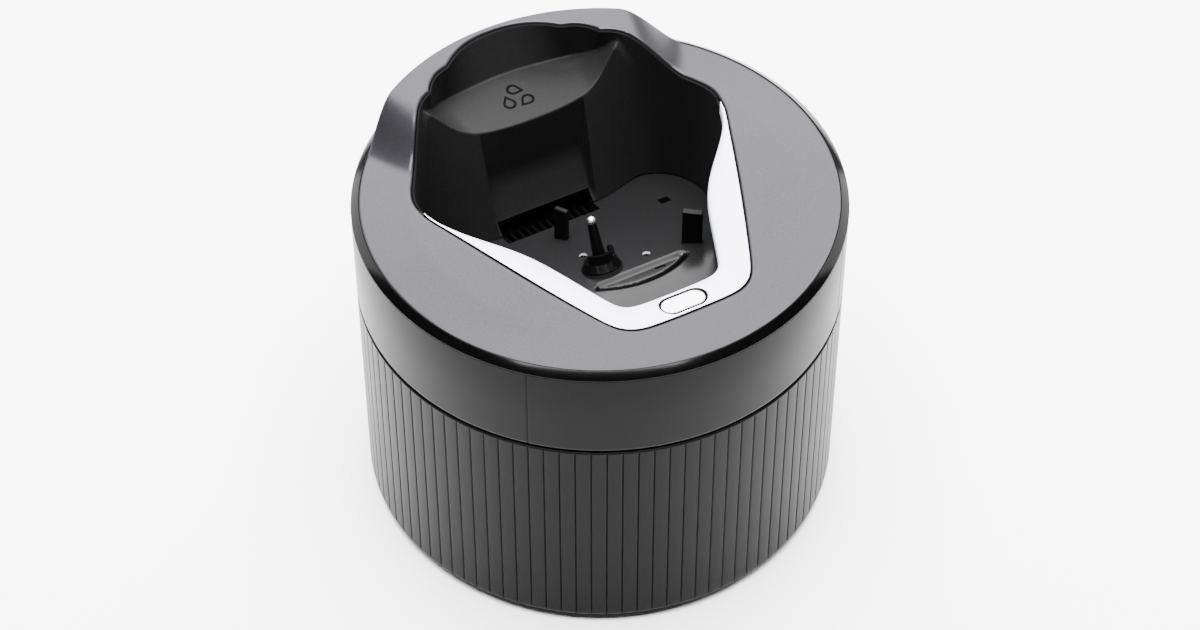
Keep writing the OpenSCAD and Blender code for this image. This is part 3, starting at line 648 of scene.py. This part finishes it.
# Each step is how far in from the outline and how high above the trim.
cap_steps = [(0.12, -0.75), (0.12, -0.2), (0.15, -0.04), (0.26, 0.05), (0.5, 0.1), (1.2, 0.13),
             (2.2, 0.15)]
cap = skin("pill_cap", [pill_loop(inset, z) for inset, z in cap_steps], False, 50)
place(cap, "button_white", "button", "release_button")

# Its black surround fills the hole to just under the cap's rim, in the painted-shade black, so the gap
# round the button reads as painted shade.
skirt_steps = [(-1.2, -2.9, False), (-1.2, -1.8, False), (-0.55, -1.8, False), (-0.55, -0.1, True),
               (-0.48, -0.03, True), (0.1, -0.03, True), (0.1, -0.8, True)]
skirt = skin("pill_skirt", [pill_loop(*step) for step in skirt_steps], False, 50)
place(skirt, "black_satin", "button")
skirt.material_slots[0].material = PAINTED_SHADE
wedge = [(-1.2, 61.5), (1.2, 63.9), (1.2, RING_Z - 2.85), (-1.2, RING_Z - 2.85)]
stem = skin("pill_stem", [[(x, BUTTON_Y + y, z) for y, z in wedge] for x in (-1.5, 1.5)], False, 30)
place(stem, "black_satin", "button")

# ---------- well ----------

def curve_at(x, table):
    """A smooth curve through the table's rows (rim x, then x, y and height)."""
    rows = np.array(table, float)
    t = rows[:, 0]
    slopes = np.zeros((len(rows), 3))
    for k in range(1, len(rows) - 1):
        slopes[k] = (rows[k + 1, 1:] - rows[k - 1, 1:]) / (t[k + 1] - t[k - 1])
    slopes[0] = [rows[1, 1] / t[1], 0, 0]
    slopes[-1] = (rows[-1, 1:] - rows[-2, 1:]) / (t[-1] - t[-2])
    k = int(np.clip(np.searchsorted(t, x) - 1, 0, len(rows) - 2))
    h = t[k + 1] - t[k]
    u = np.clip((x - t[k]) / h, 0, 1)
    a = 2 * u ** 3 - 3 * u ** 2 + 1
    b = u ** 3 - 2 * u ** 2 + u
    c = -2 * u ** 3 + 3 * u ** 2
    d = u ** 3 - u ** 2
    return a * rows[k, 1:] + b * h * slopes[k] + c * rows[k + 1, 1:] + d * h * slopes[k + 1]


# The ledge's crease and front edge, against the rim's x.
CREASE = [(0, 0, 52.8, -0.8), (16.6, 17.4, 51.0, -0.7), (24.6, 23.8, 46.4, 2.4), (30, 28.6, 41.6, 8.3)]
LEDGE = [(0, 0, 35.5, -2.5), (10, 9.3, 35.9, -2.4), (16.6, 15.4, 36.7, -1.8), (21, 18.8, 37.6, -0.5),
         (24.6, 21.6, 38.8, 1.3), (27.5, 24.4, 40.0, 4.2), (30, 27.6, 41.2, 8.0)]
PAD_HIGH = (36.4, -20.3)               # y and height of the resting pad's two edges
PAD_LOW = (31.2, -29.9)
PAD_HALF_W = 14.6
BLEND = 8                              # stations over which the wall settles past the tip
WELL_T = 1.8
SLOT_HALF_W = 13.5


def well_rows(j):
    """The well's inner corners at station j of the right half, from the rim to the floor."""
    p, floor_at = opening[j], floor_line[j]
    up = p / np.hypot(*p)
    rim = p - up * 0.75
    top = np.array([rim[0], rim[1], cover_rise(*p) - 0.55])
    if j <= TIP:
        q = trim_half[j]
        q = q * (1 + 0.8 / np.hypot(*q))
        low_top = np.array([q[0], q[1], trim_in_rise(q[1]) - 2.8])
        top = low_top + (top - low_top) * float(smooth((j - TIP + BLEND) / BLEND)) * 0.5
    elif j < TIP + BLEND:
        q = trim_half[TIP]
        low_top = np.array([q[0], q[1], top[2] - 2.4])
        low_top[:2] = rim
        top = top + (low_top - top) * (1 - float(smooth((j - TIP) / BLEND))) * 0.5
    foot = np.array([*floor_at, float(tray_rise(floor_at[1])) + 0.6])
    share = float(smooth((p[1] - 39.0) / 2.6)) if j > TIP else 0.0
    crease = top + (foot - top) * 0.15
    ledge = top + (foot - top) * 0.3
    crease = crease + (curve_at(p[0], CREASE) - crease) * share
    ledge = ledge + (curve_at(p[0], LEDGE) - ledge) * share
    high = ledge + (foot - ledge) * 0.6
    low = ledge + (foot - ledge) * 0.92
    return np.array([top, crease, ledge, high, low, foot]), share


def soften(rows, rounds):
    """Evens a closed row of points out along its length."""
    for _ in range(rounds):
        rows = (np.roll(rows, 1, 0) + 2 * rows + np.roll(rows, -1, 0)) / 4
    return rows


ROUNDS = (1, 3, 10, 24, 12, 0)         # one for each of the six rows
def well_corners():
    """The well's corners all the way round, and how much of the ledge each place has."""
    half_rows = [well_rows(j) for j in range(BACK + 1)]
    shares = [r[1] for r in half_rows]
    rows = [r[0] for r in half_rows] + [r[0] * [-1, 1, 1] for r in half_rows[-2:0:-1]]
    shares = shares + shares[-2:0:-1]
    rows = np.array(rows)
    for k, rounds in enumerate(ROUNDS):
        rows[:, k] = soften(rows[:, k], rounds)
    for i, corners in enumerate(rows):
        # The resting pad stands out of the middle of the back wall with crisp edges.
        foot = corners[5]
        pad = shares[i] * float(smooth((PAD_HALF_W - abs(foot[0])) / 0.9))
        for k, (y, z) in ((3, PAD_HIGH), (4, PAD_LOW)):
            corners[k] += (np.array([foot[0], y, z]) - corners[k]) * pad
    return rows, shares


def well_slice(corners, share):
    """The well's wall at one place: its rounded inner side and its outer side."""
    top, crease, ledge, high, low, foot = corners
    cuts = (0.6, 1.5 - 0.9 * share, 3.0, 0.8)
    inner = fillet(corners, cuts, 7)
    up = np.array([top[0], top[1], 0]) / np.hypot(top[0], top[1])
    uf = np.array([foot[0], foot[1], 0]) / np.hypot(foot[0], foot[1])
    drop = np.array([0, 0, WELL_T]) * share
    outer = [foot + uf * WELL_T, low + uf * WELL_T, high + uf * WELL_T, ledge + up * WELL_T - drop,
             crease + up * 0.9 - drop, top + up * 0.62 - [0, 0, 0.2], top + up * 0.5]
    return [v + [0, 0, RING_Z] for v in list(inner) + outer]


def make_well():
    """The well with the drain slot cut in the foot of its back wall; its top edge under the cover's rim
    is painted dark as painted shade.
    """
    well = skin("well_shell", [well_slice(c, h) for c, h in zip(*well_corners())], sharp=50)
    slot_cut = prism("slot", box_outline(-SLOT_HALF_W, 23, 2 * SLOT_HALF_W, 11, 0),
                     RING_Z - 37, RING_Z - 29.8)
    cut_away(well, slot_cut)
    shade(well, 50)
    place(well, "black_satin", "top", "shaver_holder")
    well.data.materials.append(PAINTED_SHADE)
    for face in well.data.polygons:
        # Painted shade: the upward faces along the top edge, under the cover's rim, are painted black
        # so the gap between cover and well reads dark.
        centre = face.center / MM
        rim_z = RING_Z + cover_rise(centre.x, centre.y) - 0.95
        if centre.z > rim_z and face.normal.z > 0.4:
            face.material_index = 1
    return well


well = make_well()


# ---------- icon ----------

def drop_point(t, length, inset):
    """A point of a drop's outline at t from 0 to 1, tip towards +Y, the round end at the origin."""
    r = length * 0.36
    tip_y = length * 0.62
    lean = math.acos(r / tip_y)
    sweep = 2 * math.pi - 2 * lean
    straight = 0.22
    if t < straight or t > 1 - straight:
        s = t / straight if t < straight else (1 - t) / straight
        side_of = 1 if t < straight else -1
        edge = np.array([side_of * r * math.sin(lean), r * math.cos(lean)])
        point = np.array([0, tip_y]) * (1 - s) + edge * s
    else:
        a = math.pi / 2 - lean - sweep * (t - straight) / (1 - 2 * straight)
        point = np.array([r * math.cos(a), r * math.sin(a)])
    middle = np.array([0, 0.04 * length])
    return middle + (point - middle) * (1 - inset)


DROP_L = 4.8
DROP_LINE = 0.38                       # width of the printed outline, as a share of the drop
DROPS_AT = (-0.5, 43.9)
DROP_AWAY = 2.9                        # from the middle of the three to each drop


def drops():
    """Three outlined drops, laid on the ledge."""
    ledge_height = surface_finder(well)
    steps = 64
    verts, faces = [], []
    for turn in (0, 120, 240):
        a, b = math.radians(turn - 5), math.radians(turn - 5 - 115)
        base = len(verts)
        for k in range(steps):
            for inset in (0, DROP_LINE):
                x, y = drop_point(k / steps, DROP_L, inset)
                px = x * math.cos(b) - y * math.sin(b) - DROP_AWAY * math.sin(a) + DROPS_AT[0]
                py = x * math.sin(b) + y * math.cos(b) + DROP_AWAY * math.cos(a) + DROPS_AT[1]
                z = ledge_height(px, py)
                verts += [(px, py, z - 0.15), (px, py, z + 0.04)]
        for k in range(steps):
            q, r = base + 4 * k, base + 4 * ((k + 1) % steps)
            faces += [(q, r, r + 1, q + 1), (q + 1, r + 1, r + 3, q + 3),
                      (q + 3, r + 3, r + 2, q + 2), (q + 2, r + 2, r, q)]
    return finish_mesh("drops_print", verts, faces)


place(drops(), "icon_ink", "top", "drops_icon")


# ---------- tray ----------

ARC = np.array([7.5, 11.5])            # centre and radius of the curved groove
ARC_R = 24.0
JETS = [(-1, 7.3), (12.2, -2.4)]       # the two fluid holes
CARRIER_R = 5.35
CUT_LOW, CUT_HIGH = 40, 90             # the cutters reach well past the tray


def along_arc(x, y):
    """1 where the curved groove runs, fading to 0 past its two ends."""
    angle = np.degrees(np.arctan2(y - ARC[1], x - ARC[0]))
    return smooth((34.5 - np.abs(angle + 90)) / 3)


def tray_top(x, y):
    """Height of the tray: the slope, the level shelf in front, and the scoop by the curved groove."""
    slope = TRAY_DROP - SLOPE * (y - PIN_Y)
    k = 0.7
    z = -k * np.log(np.exp(-slope / k) + np.exp(-SHELF_DROP / k))
    r = np.hypot(x - ARC[0], y - ARC[1])
    along = along_arc(x, y)
    scoop = smooth((-6.0 - y) / 2.4) * smooth((ARC_R + 0.3 - r) / 0.5) * along
    groove = np.exp(-((r - ARC_R) / 0.6) ** 2) * along
    lip = smooth((r - ARC_R - 0.6) / 0.4) * smooth((ARC_R + 2.8 - r) / 2.0) * along
    return z - 0.8 * scoop - 1.7 * groove + 0.12 * lip


def tray_sheet():
    """A fine grid over the floor's outline, thickened downward."""
    edge = floor_line * (1 + 2.4 / np.hypot(floor_line[:, 0], floor_line[:, 1]))[:, None]
    half_edge = edge[:BACK + 1]
    widest = int(np.argmax(half_edge[:, 0]))
    front, back = half_edge[:widest + 1], half_edge[widest:][::-1]
    reach = half_edge[widest, 0]
    xs = reach * np.sin(np.linspace(-math.pi / 2, math.pi / 2, 301))
    ts = np.linspace(0, 1, 241)
    lows = np.interp(np.abs(xs), front[:, 0], front[:, 1])
    highs = np.interp(np.abs(xs), back[:, 0], back[:, 1])
    n, m = len(xs), len(ts)
    verts = []
    for under in (0, 1):
        for i in range(n):
            ys = lows[i] + (highs[i] - lows[i]) * ts
            zs = tray_top(xs[i], ys) + RING_Z if not under else tray_rise(ys) - 2.4 + RING_Z
            verts += [(xs[i], y, z) for y, z in zip(ys, zs)]
    faces = []
    for i in range(n - 1):
        for j in range(m - 1):
            a = i * m + j
            faces.append((a, a + m, a + m + 1, a + 1))
            b = a + n * m
            faces.append((b, b + 1, b + m + 1, b + m))
    for i in range(n - 1):
        for j in (0, m - 1):
            a, b = i * m + j, (i + 1) * m + j
            faces.append((a, a + n * m, b + n * m, b) if j == 0 else (a, b, b + n * m, a + n * m))
    for j in range(m - 1):
        for i in (0, n - 1):
            a, b = i * m + j, i * m + j + 1
            faces.append((a, b, b + n * m, a + n * m) if i == 0 else (a, a + n * m, b + n * m, b))
    return finish_mesh("tray_shell", verts, faces, 60)


def make_tray():
    """The tray with its holes; the curved groove and its edges are painted dark as painted shade."""
    tray = tray_sheet()
    holes = [prism("jet_hole", circle(x, y, 1.2), CUT_LOW, CUT_HIGH) for x, y in JETS]
    for outline in (box_outline(27.3, 16.3, 3, 2.6, 0),                      # square hole
                    box_outline(11, -9.1, 3, 0.7, -7),                       # slit
                    box_outline(-SLOT_HALF_W, 24.6, 2 * SLOT_HALF_W, 14, 0)):  # drain
        holes.append(prism("hole", outline, CUT_LOW, CUT_HIGH))
    carrier_hole = prism("carrier_hole", circle(0, 0, CARRIER_R, 64), -20, 2)
    carrier_hole.data.transform(Matrix.Rotation(-LEAN, 4, "X"))
    carrier_hole.data.transform(Matrix.Translation((0, PIN_Y * MM, (RING_Z + TRAY_DROP) * MM)))
    holes.append(carrier_hole)
    cut_away(tray, joined(holes))
    shade(tray, 60)
    place(tray, "tray_grey", "top", "drip_tray")
    tray.data.materials.append(PAINTED_SHADE)
    # Painted shade: faces in and beside the curved groove get the shade black.
    for face in tray.data.polygons:
        centre = face.center / MM
        off_arc = math.hypot(centre.x - ARC[0], centre.y - ARC[1]) - ARC_R
        if -1.1 < off_arc < 0.65 and along_arc(centre.x, centre.y) > 0.3:
            face.material_index = 1


make_tray()


def soft_box(name, outline, z0, z1, round_by):
    """An upright block whose edges are rounded."""
    obj = prism(name, outline, z0, z1)
    round_edges(obj, round_by, 4, 30)
    return obj


def facing(p, q, t):
    """A strip t thick behind the line from p to q."""
    d = np.array(q, float) - np.array(p, float)
    return box_outline(p[0], p[1], float(np.hypot(*d)), t, math.degrees(math.atan2(d[1], d[0])))


def jet_tube(x, y):
    """A thin tube with its rim flush in the tray; make_jets paints its mouth white as a painted
    highlight.
    """
    top = RING_Z + float(tray_rise(y)) + 0.04
    profile = [(1.0, top - 3), (1.16, top - 3), (1.16, top), (1.0, top), (1.0, top - 0.8)]
    tube = lathe("jet_tube", profile, 48)
    for v in tube.data.vertices:
        if v.co.z > (top - 1) * MM:
            v.co.z -= SLOPE * v.co.y
    tube.data.transform(Matrix.Translation((x * MM, y * MM, 0)))
    return tube


MOUTH_FACET = 0.108                    # square mm, just over one facet inside a tube's mouth


def make_jets():
    """Both tubes: the top rim in the tray's colour, the bore below the mouth painted dark as painted
    shade, and the mouth painted white as a painted highlight.
    """
    jets = joined([jet_tube(x, y) for x, y in JETS])
    jets.name = "jet_tubes"
    shade(jets, 50)
    place(jets, "steel", "top", "jet_nozzles")
    for extra in ("tray_grey", "button_white"):
        jets.data.materials.append(MATS[extra])
    # Painted shade in the bore, painted highlight in the mouth: the rim takes the tray's colour, deeper
    # faces are painted dark, and the small facets just inside the mouth are painted white so the lamps
    # light them into a bright crescent.
    for face in jets.data.polygons:
        height = max(jets.data.vertices[i].co.z for i in face.vertices) / MM - RING_Z
        near_top = height > float(tray_rise(face.center.y / MM)) - 0.5
        if face.normal.z > 0.7 or not near_top:
            face.material_index = 1
        elif face.area < MOUTH_FACET * MM * MM:
            face.material_index = 2


make_jets()


fin = soft_box("locating_fin", facing((-3.1, 19.5), (-0.9, 16.2), 1.6), RING_Z - 31.5,
               RING_Z - 19.3, 0.6)
plate = soft_box("locating_plate", facing((21.6, -3.9), (25.7, -7.0), 1.8), RING_Z - 25,
                 RING_Z - 12.3, 0.25)
for piece in (fin, plate):
    place(piece, "black_satin", "top")
    piece.material_slots[0].material = MATT


# ---------- springs ----------

def coil(name, radius, wire, length, turns, steps=24, sides=8):
    """A coil spring of round wire, standing on z = 0."""
    slices = []
    last = turns * steps
    for i in range(last + 1):
        a = 2 * math.pi * i / steps
        middle = wire + (length - 2 * wire) * i / last
        loop = []
        for k in range(sides):
            b = 2 * math.pi * k / sides
            r = radius + wire * math.cos(b)
            loop.append((r * math.cos(a), r * math.sin(a), middle + wire * math.sin(b)))
        slices.append(loop)
    return skin(name, slices, False)


BUTTON_COIL, BUTTON_COIL_Z = 9.3, 79.4
LATCH_COIL, LATCH_COIL_Y, LATCH_Z = 7.6, -33.9, 61.9
button_coil = coil("button_coil", 2.25, 0.22, BUTTON_COIL, 7)
button_coil.data.transform(Matrix.Translation((0, BUTTON_Y * MM, BUTTON_COIL_Z * MM)))
place(button_coil, "steel", "top", "button_spring")
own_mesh(button_coil)
latch_coil = coil("latch_coil", 1.2, 0.22, LATCH_COIL, 7)
latch_coil.data.transform(Matrix.Rotation(math.radians(-90), 4, "X"))
latch_coil.data.transform(Matrix.Translation((0, LATCH_COIL_Y * MM, LATCH_Z * MM)))
place(latch_coil, "steel", "top", "latch_spring")
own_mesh(latch_coil)


# ---------- rings and cup ----------

ring_profile = rounded([
    (56.5, RING_Z - 1.2), (60.0, RING_Z - 1.2), (60.0, RING_Z + 0.02), (POD_R, RING_Z + 0.02),
    (POD_R, RING_Z + 0.25), (COVER_R + 0.15, RING_Z + 1.75), (COVER_R + 0.15, RING_Z + 0.3),
    (56.5, RING_Z + 0.3)], 0.1)
place(lathe("gloss_ring", ring_profile), "gloss_black", "top", "black_ring")


def mould_line(r, z, a):
    """A fine upright line at each quarter of the band."""
    if r < POD_R - 0.4:
        return r
    off = min(abs(math.remainder(a - math.radians(45 + 90 * k), 2 * math.pi)) for k in range(4))
    return r - 0.12 * math.exp(-(off * POD_R / 0.12) ** 2)


BAND_STEPS = 1440                      # fine enough for the mould lines


def make_band():
    """The smooth band; its four mould lines are painted dark as painted shade."""
    band_profile = rounded([
        (60.2, SEAM_Z + 0.4), (POD_R - 0.5, SEAM_Z + 0.4), (POD_R - 0.12, SEAM_Z + 0.6),
        (POD_R, SEAM_Z + 1.2), (POD_R, SEAM_Z + 12), (POD_R, RING_Z - 0.1), (60.2, RING_Z - 0.1)], 0.12)
    band = lathe("collar_shell", band_profile, BAND_STEPS, mould_line)
    place(band, "band_grey", "top", "collar_band")
    band.data.materials.append(PAINTED_SHADE)
    # Painted shade: faces along each mould line get the shade black.
    for face in band.data.polygons:
        quarter = (math.atan2(face.center.y, face.center.x) - math.radians(45)) % (math.pi / 2)
        if quarter < 2 * math.pi / BAND_STEPS and math.hypot(*face.center.xy) > (POD_R - 1) * MM:
            face.material_index = 1


make_band()


GROOVE_W, GROOVE_D = 0.56, 0.27
PITCH = 2 * math.pi / RIBS
# Where each rib is cut, as shares of the pitch: closer together at the grooves.
RIB_STEPS = [0, 0.022, 0.045, 0.068, 0.09, 0.13, 0.25, 0.5, 0.75, 0.87, 0.91, 0.932, 0.955, 0.978]


def rib_radius(r, z, a):
    """Grooves between ribs, fading out near the mouth and the foot."""
    if r < POD_R - 1.2:
        return r
    f = (a / PITCH + 0.5) % 1.0
    off = min(f, 1 - f) * PITCH * POD_R / (GROOVE_W / 2)
    groove = GROOVE_D * (1 - smooth(off))
    crown = 0.06 * (2 * f - 1) ** 2
    fade = smooth((z - 3.2) / 0.8) * smooth((SEAM_Z - 0.75 - z) / 0.3)
    return r - (groove + crown) * fade


def ribbed(name, profile):
    """The profile turned round the axis, with the grooves cut in its outer side."""
    slices = []
    for i in range(RIBS):
        for s in RIB_STEPS:
            a = (i + 0.5 + s) * PITCH
            slices.append([(rib_radius(r, z, a) * math.cos(a), rib_radius(r, z, a) * math.sin(a), z)
                           for r, z in profile])
    return skin(name, slices, True, 50)


BOSS_AT = 55.6                         # radius at which the four screw bosses stand
FLOOR_IN = 20.0                        # the ribbed slices stop here and a disc fills the middle


def make_cup():
    """The ribbed cup with its floor, screw bosses, pilot holes and latch pocket."""
    cup_in = POD_R - 2.6
    top_z = SEAM_Z - 0.4
    wall_zs = [3.4, 3.8, 4.2, 20, 40, 60, top_z - 0.9, top_z - 0.65]
    cup_profile = [(FLOOR_IN, 2.2), (POD_R - 1.6, 2.2), (POD_R - 0.6, 2.35), (POD_R - 0.1, 2.9)]
    cup_profile += [(POD_R, z) for z in wall_zs]
    cup_profile += [(POD_R, top_z - 0.4), (POD_R - 0.08, top_z - 0.2), (POD_R - 0.3, top_z - 0.05),
                    (POD_R - 0.5, top_z), (cup_in + 0.2, top_z), (cup_in, top_z - 0.2),
                    (cup_in, 4.6),
                    (FLOOR_IN, 4.6)]
    cup = ribbed("ribbed_cup", cup_profile)
    boss_places = [(BOSS_AT, 0), (0, BOSS_AT), (-BOSS_AT, 0), (0, -BOSS_AT)]
    added = [prism("boss", circle(x, y, 3, 32), 4, 14) for x, y in boss_places]
    added.append(prism("cup_floor", circle(0, 0, FLOOR_IN + 2, 96), 2.25, 4.55))
    combine(cup, joined(added), "UNION")
    removed = [prism("pilot_hole", circle(x, y, 1.3, 32), -1, 11) for x, y in boss_places]
    removed.append(prism("latch_pocket", box_outline(-6, -60.7, 12, 4, 0), 59.8, 64.2))
    cut_away(cup, joined(removed))
    shade(cup, 50)
    place(cup, "base_grey", "base", "base_cup")


make_cup()


# ---------- light, floor and camera ----------

AIM = Vector((0, 0, 0.06))


def area(name, at, size, power):
    """A soft rectangular light, facing the part."""
    lamp = bpy.data.lights.new(name, "AREA")
    lamp.shape = "RECTANGLE"
    lamp.size, lamp.size_y = size
    lamp.energy = power
    obj = bpy.data.objects.new(name, lamp)
    bpy.context.scene.collection.objects.link(obj)
    obj.location = at
    obj.rotation_mode = "QUATERNION"
    obj.rotation_quaternion = (AIM - at).to_track_quat("-Z", "Y")


def make_world():
    """A faint even light from all round."""
    world = bpy.data.worlds.new("studio")
    bpy.context.scene.world = world
    world.use_nodes = True
    sky = world.node_tree.nodes["Background"]
    sky.inputs["Color"].default_value = (1, 1, 1, 1)
    sky.inputs["Strength"].default_value = 0.12


make_world()


def make_floor():
    """A plain pale floor, a hair below the feet."""
    floor_mesh = bpy.data.meshes.new("studio_floor")
    half = 4.0
    floor_mesh.from_pydata([(-half, -half, 0), (half, -half, 0), (half, half, 0), (-half, half, 0)],
                           [], [(0, 1, 2, 3)])
    studio = bpy.data.objects.new("studio_floor", floor_mesh)
    bpy.context.scene.collection.objects.link(studio)
    studio.location.z = -0.0002
    studio.data.materials.append(surface("floor_white", (0.97, 0.97, 0.97), 0.7, 0.005, 30,
                                           rough_vary=0.04))


make_floor()


PHI = math.radians(28.6)
front = Vector((-math.sin(PHI), -math.cos(PHI), 0))
side = Vector((math.cos(PHI), -math.sin(PHI), 0))


def seen_from(right_of, towards, up):
    """A place given to the camera's right, towards the camera and up, in metres."""
    return side * right_of + front * towards + Vector((0, 0, up))


area("left_panel", seen_from(-1.2, -0.85, 0.4), (0.8, 1.2), 20)
area("right_panel", seen_from(1.2, -0.85, 0.4), (0.8, 1.2), 20)
area("back_panel", seen_from(0.0, -1.0, 1.05), (1.7, 1.0), 90)
area("overhead", seen_from(0.0, 0.1, 1.7), (1.4, 1.2), 200)

ELEV, DIST = math.radians(46.77), 0.7922
TARGET = Vector((0, 0, 0.0489))


def make_camera():
    """The camera at the photograph's viewing angle."""
    cam_data = bpy.data.cameras.new("photo_camera")
    cam_data.sensor_width = 36
    cam_data.lens = 91.77
    cam_data.clip_start = 0.01
    camera = bpy.data.objects.new("photo_camera", cam_data)
    bpy.context.scene.collection.objects.link(camera)
    camera.location = TARGET + front * DIST * math.cos(ELEV) + Vector((0, 0, DIST * math.sin(ELEV)))
    camera.rotation_mode = "QUATERNION"
    camera.rotation_quaternion = (TARGET - camera.location).to_track_quat("-Z", "Y")
    bpy.context.scene.camera = camera


make_camera()
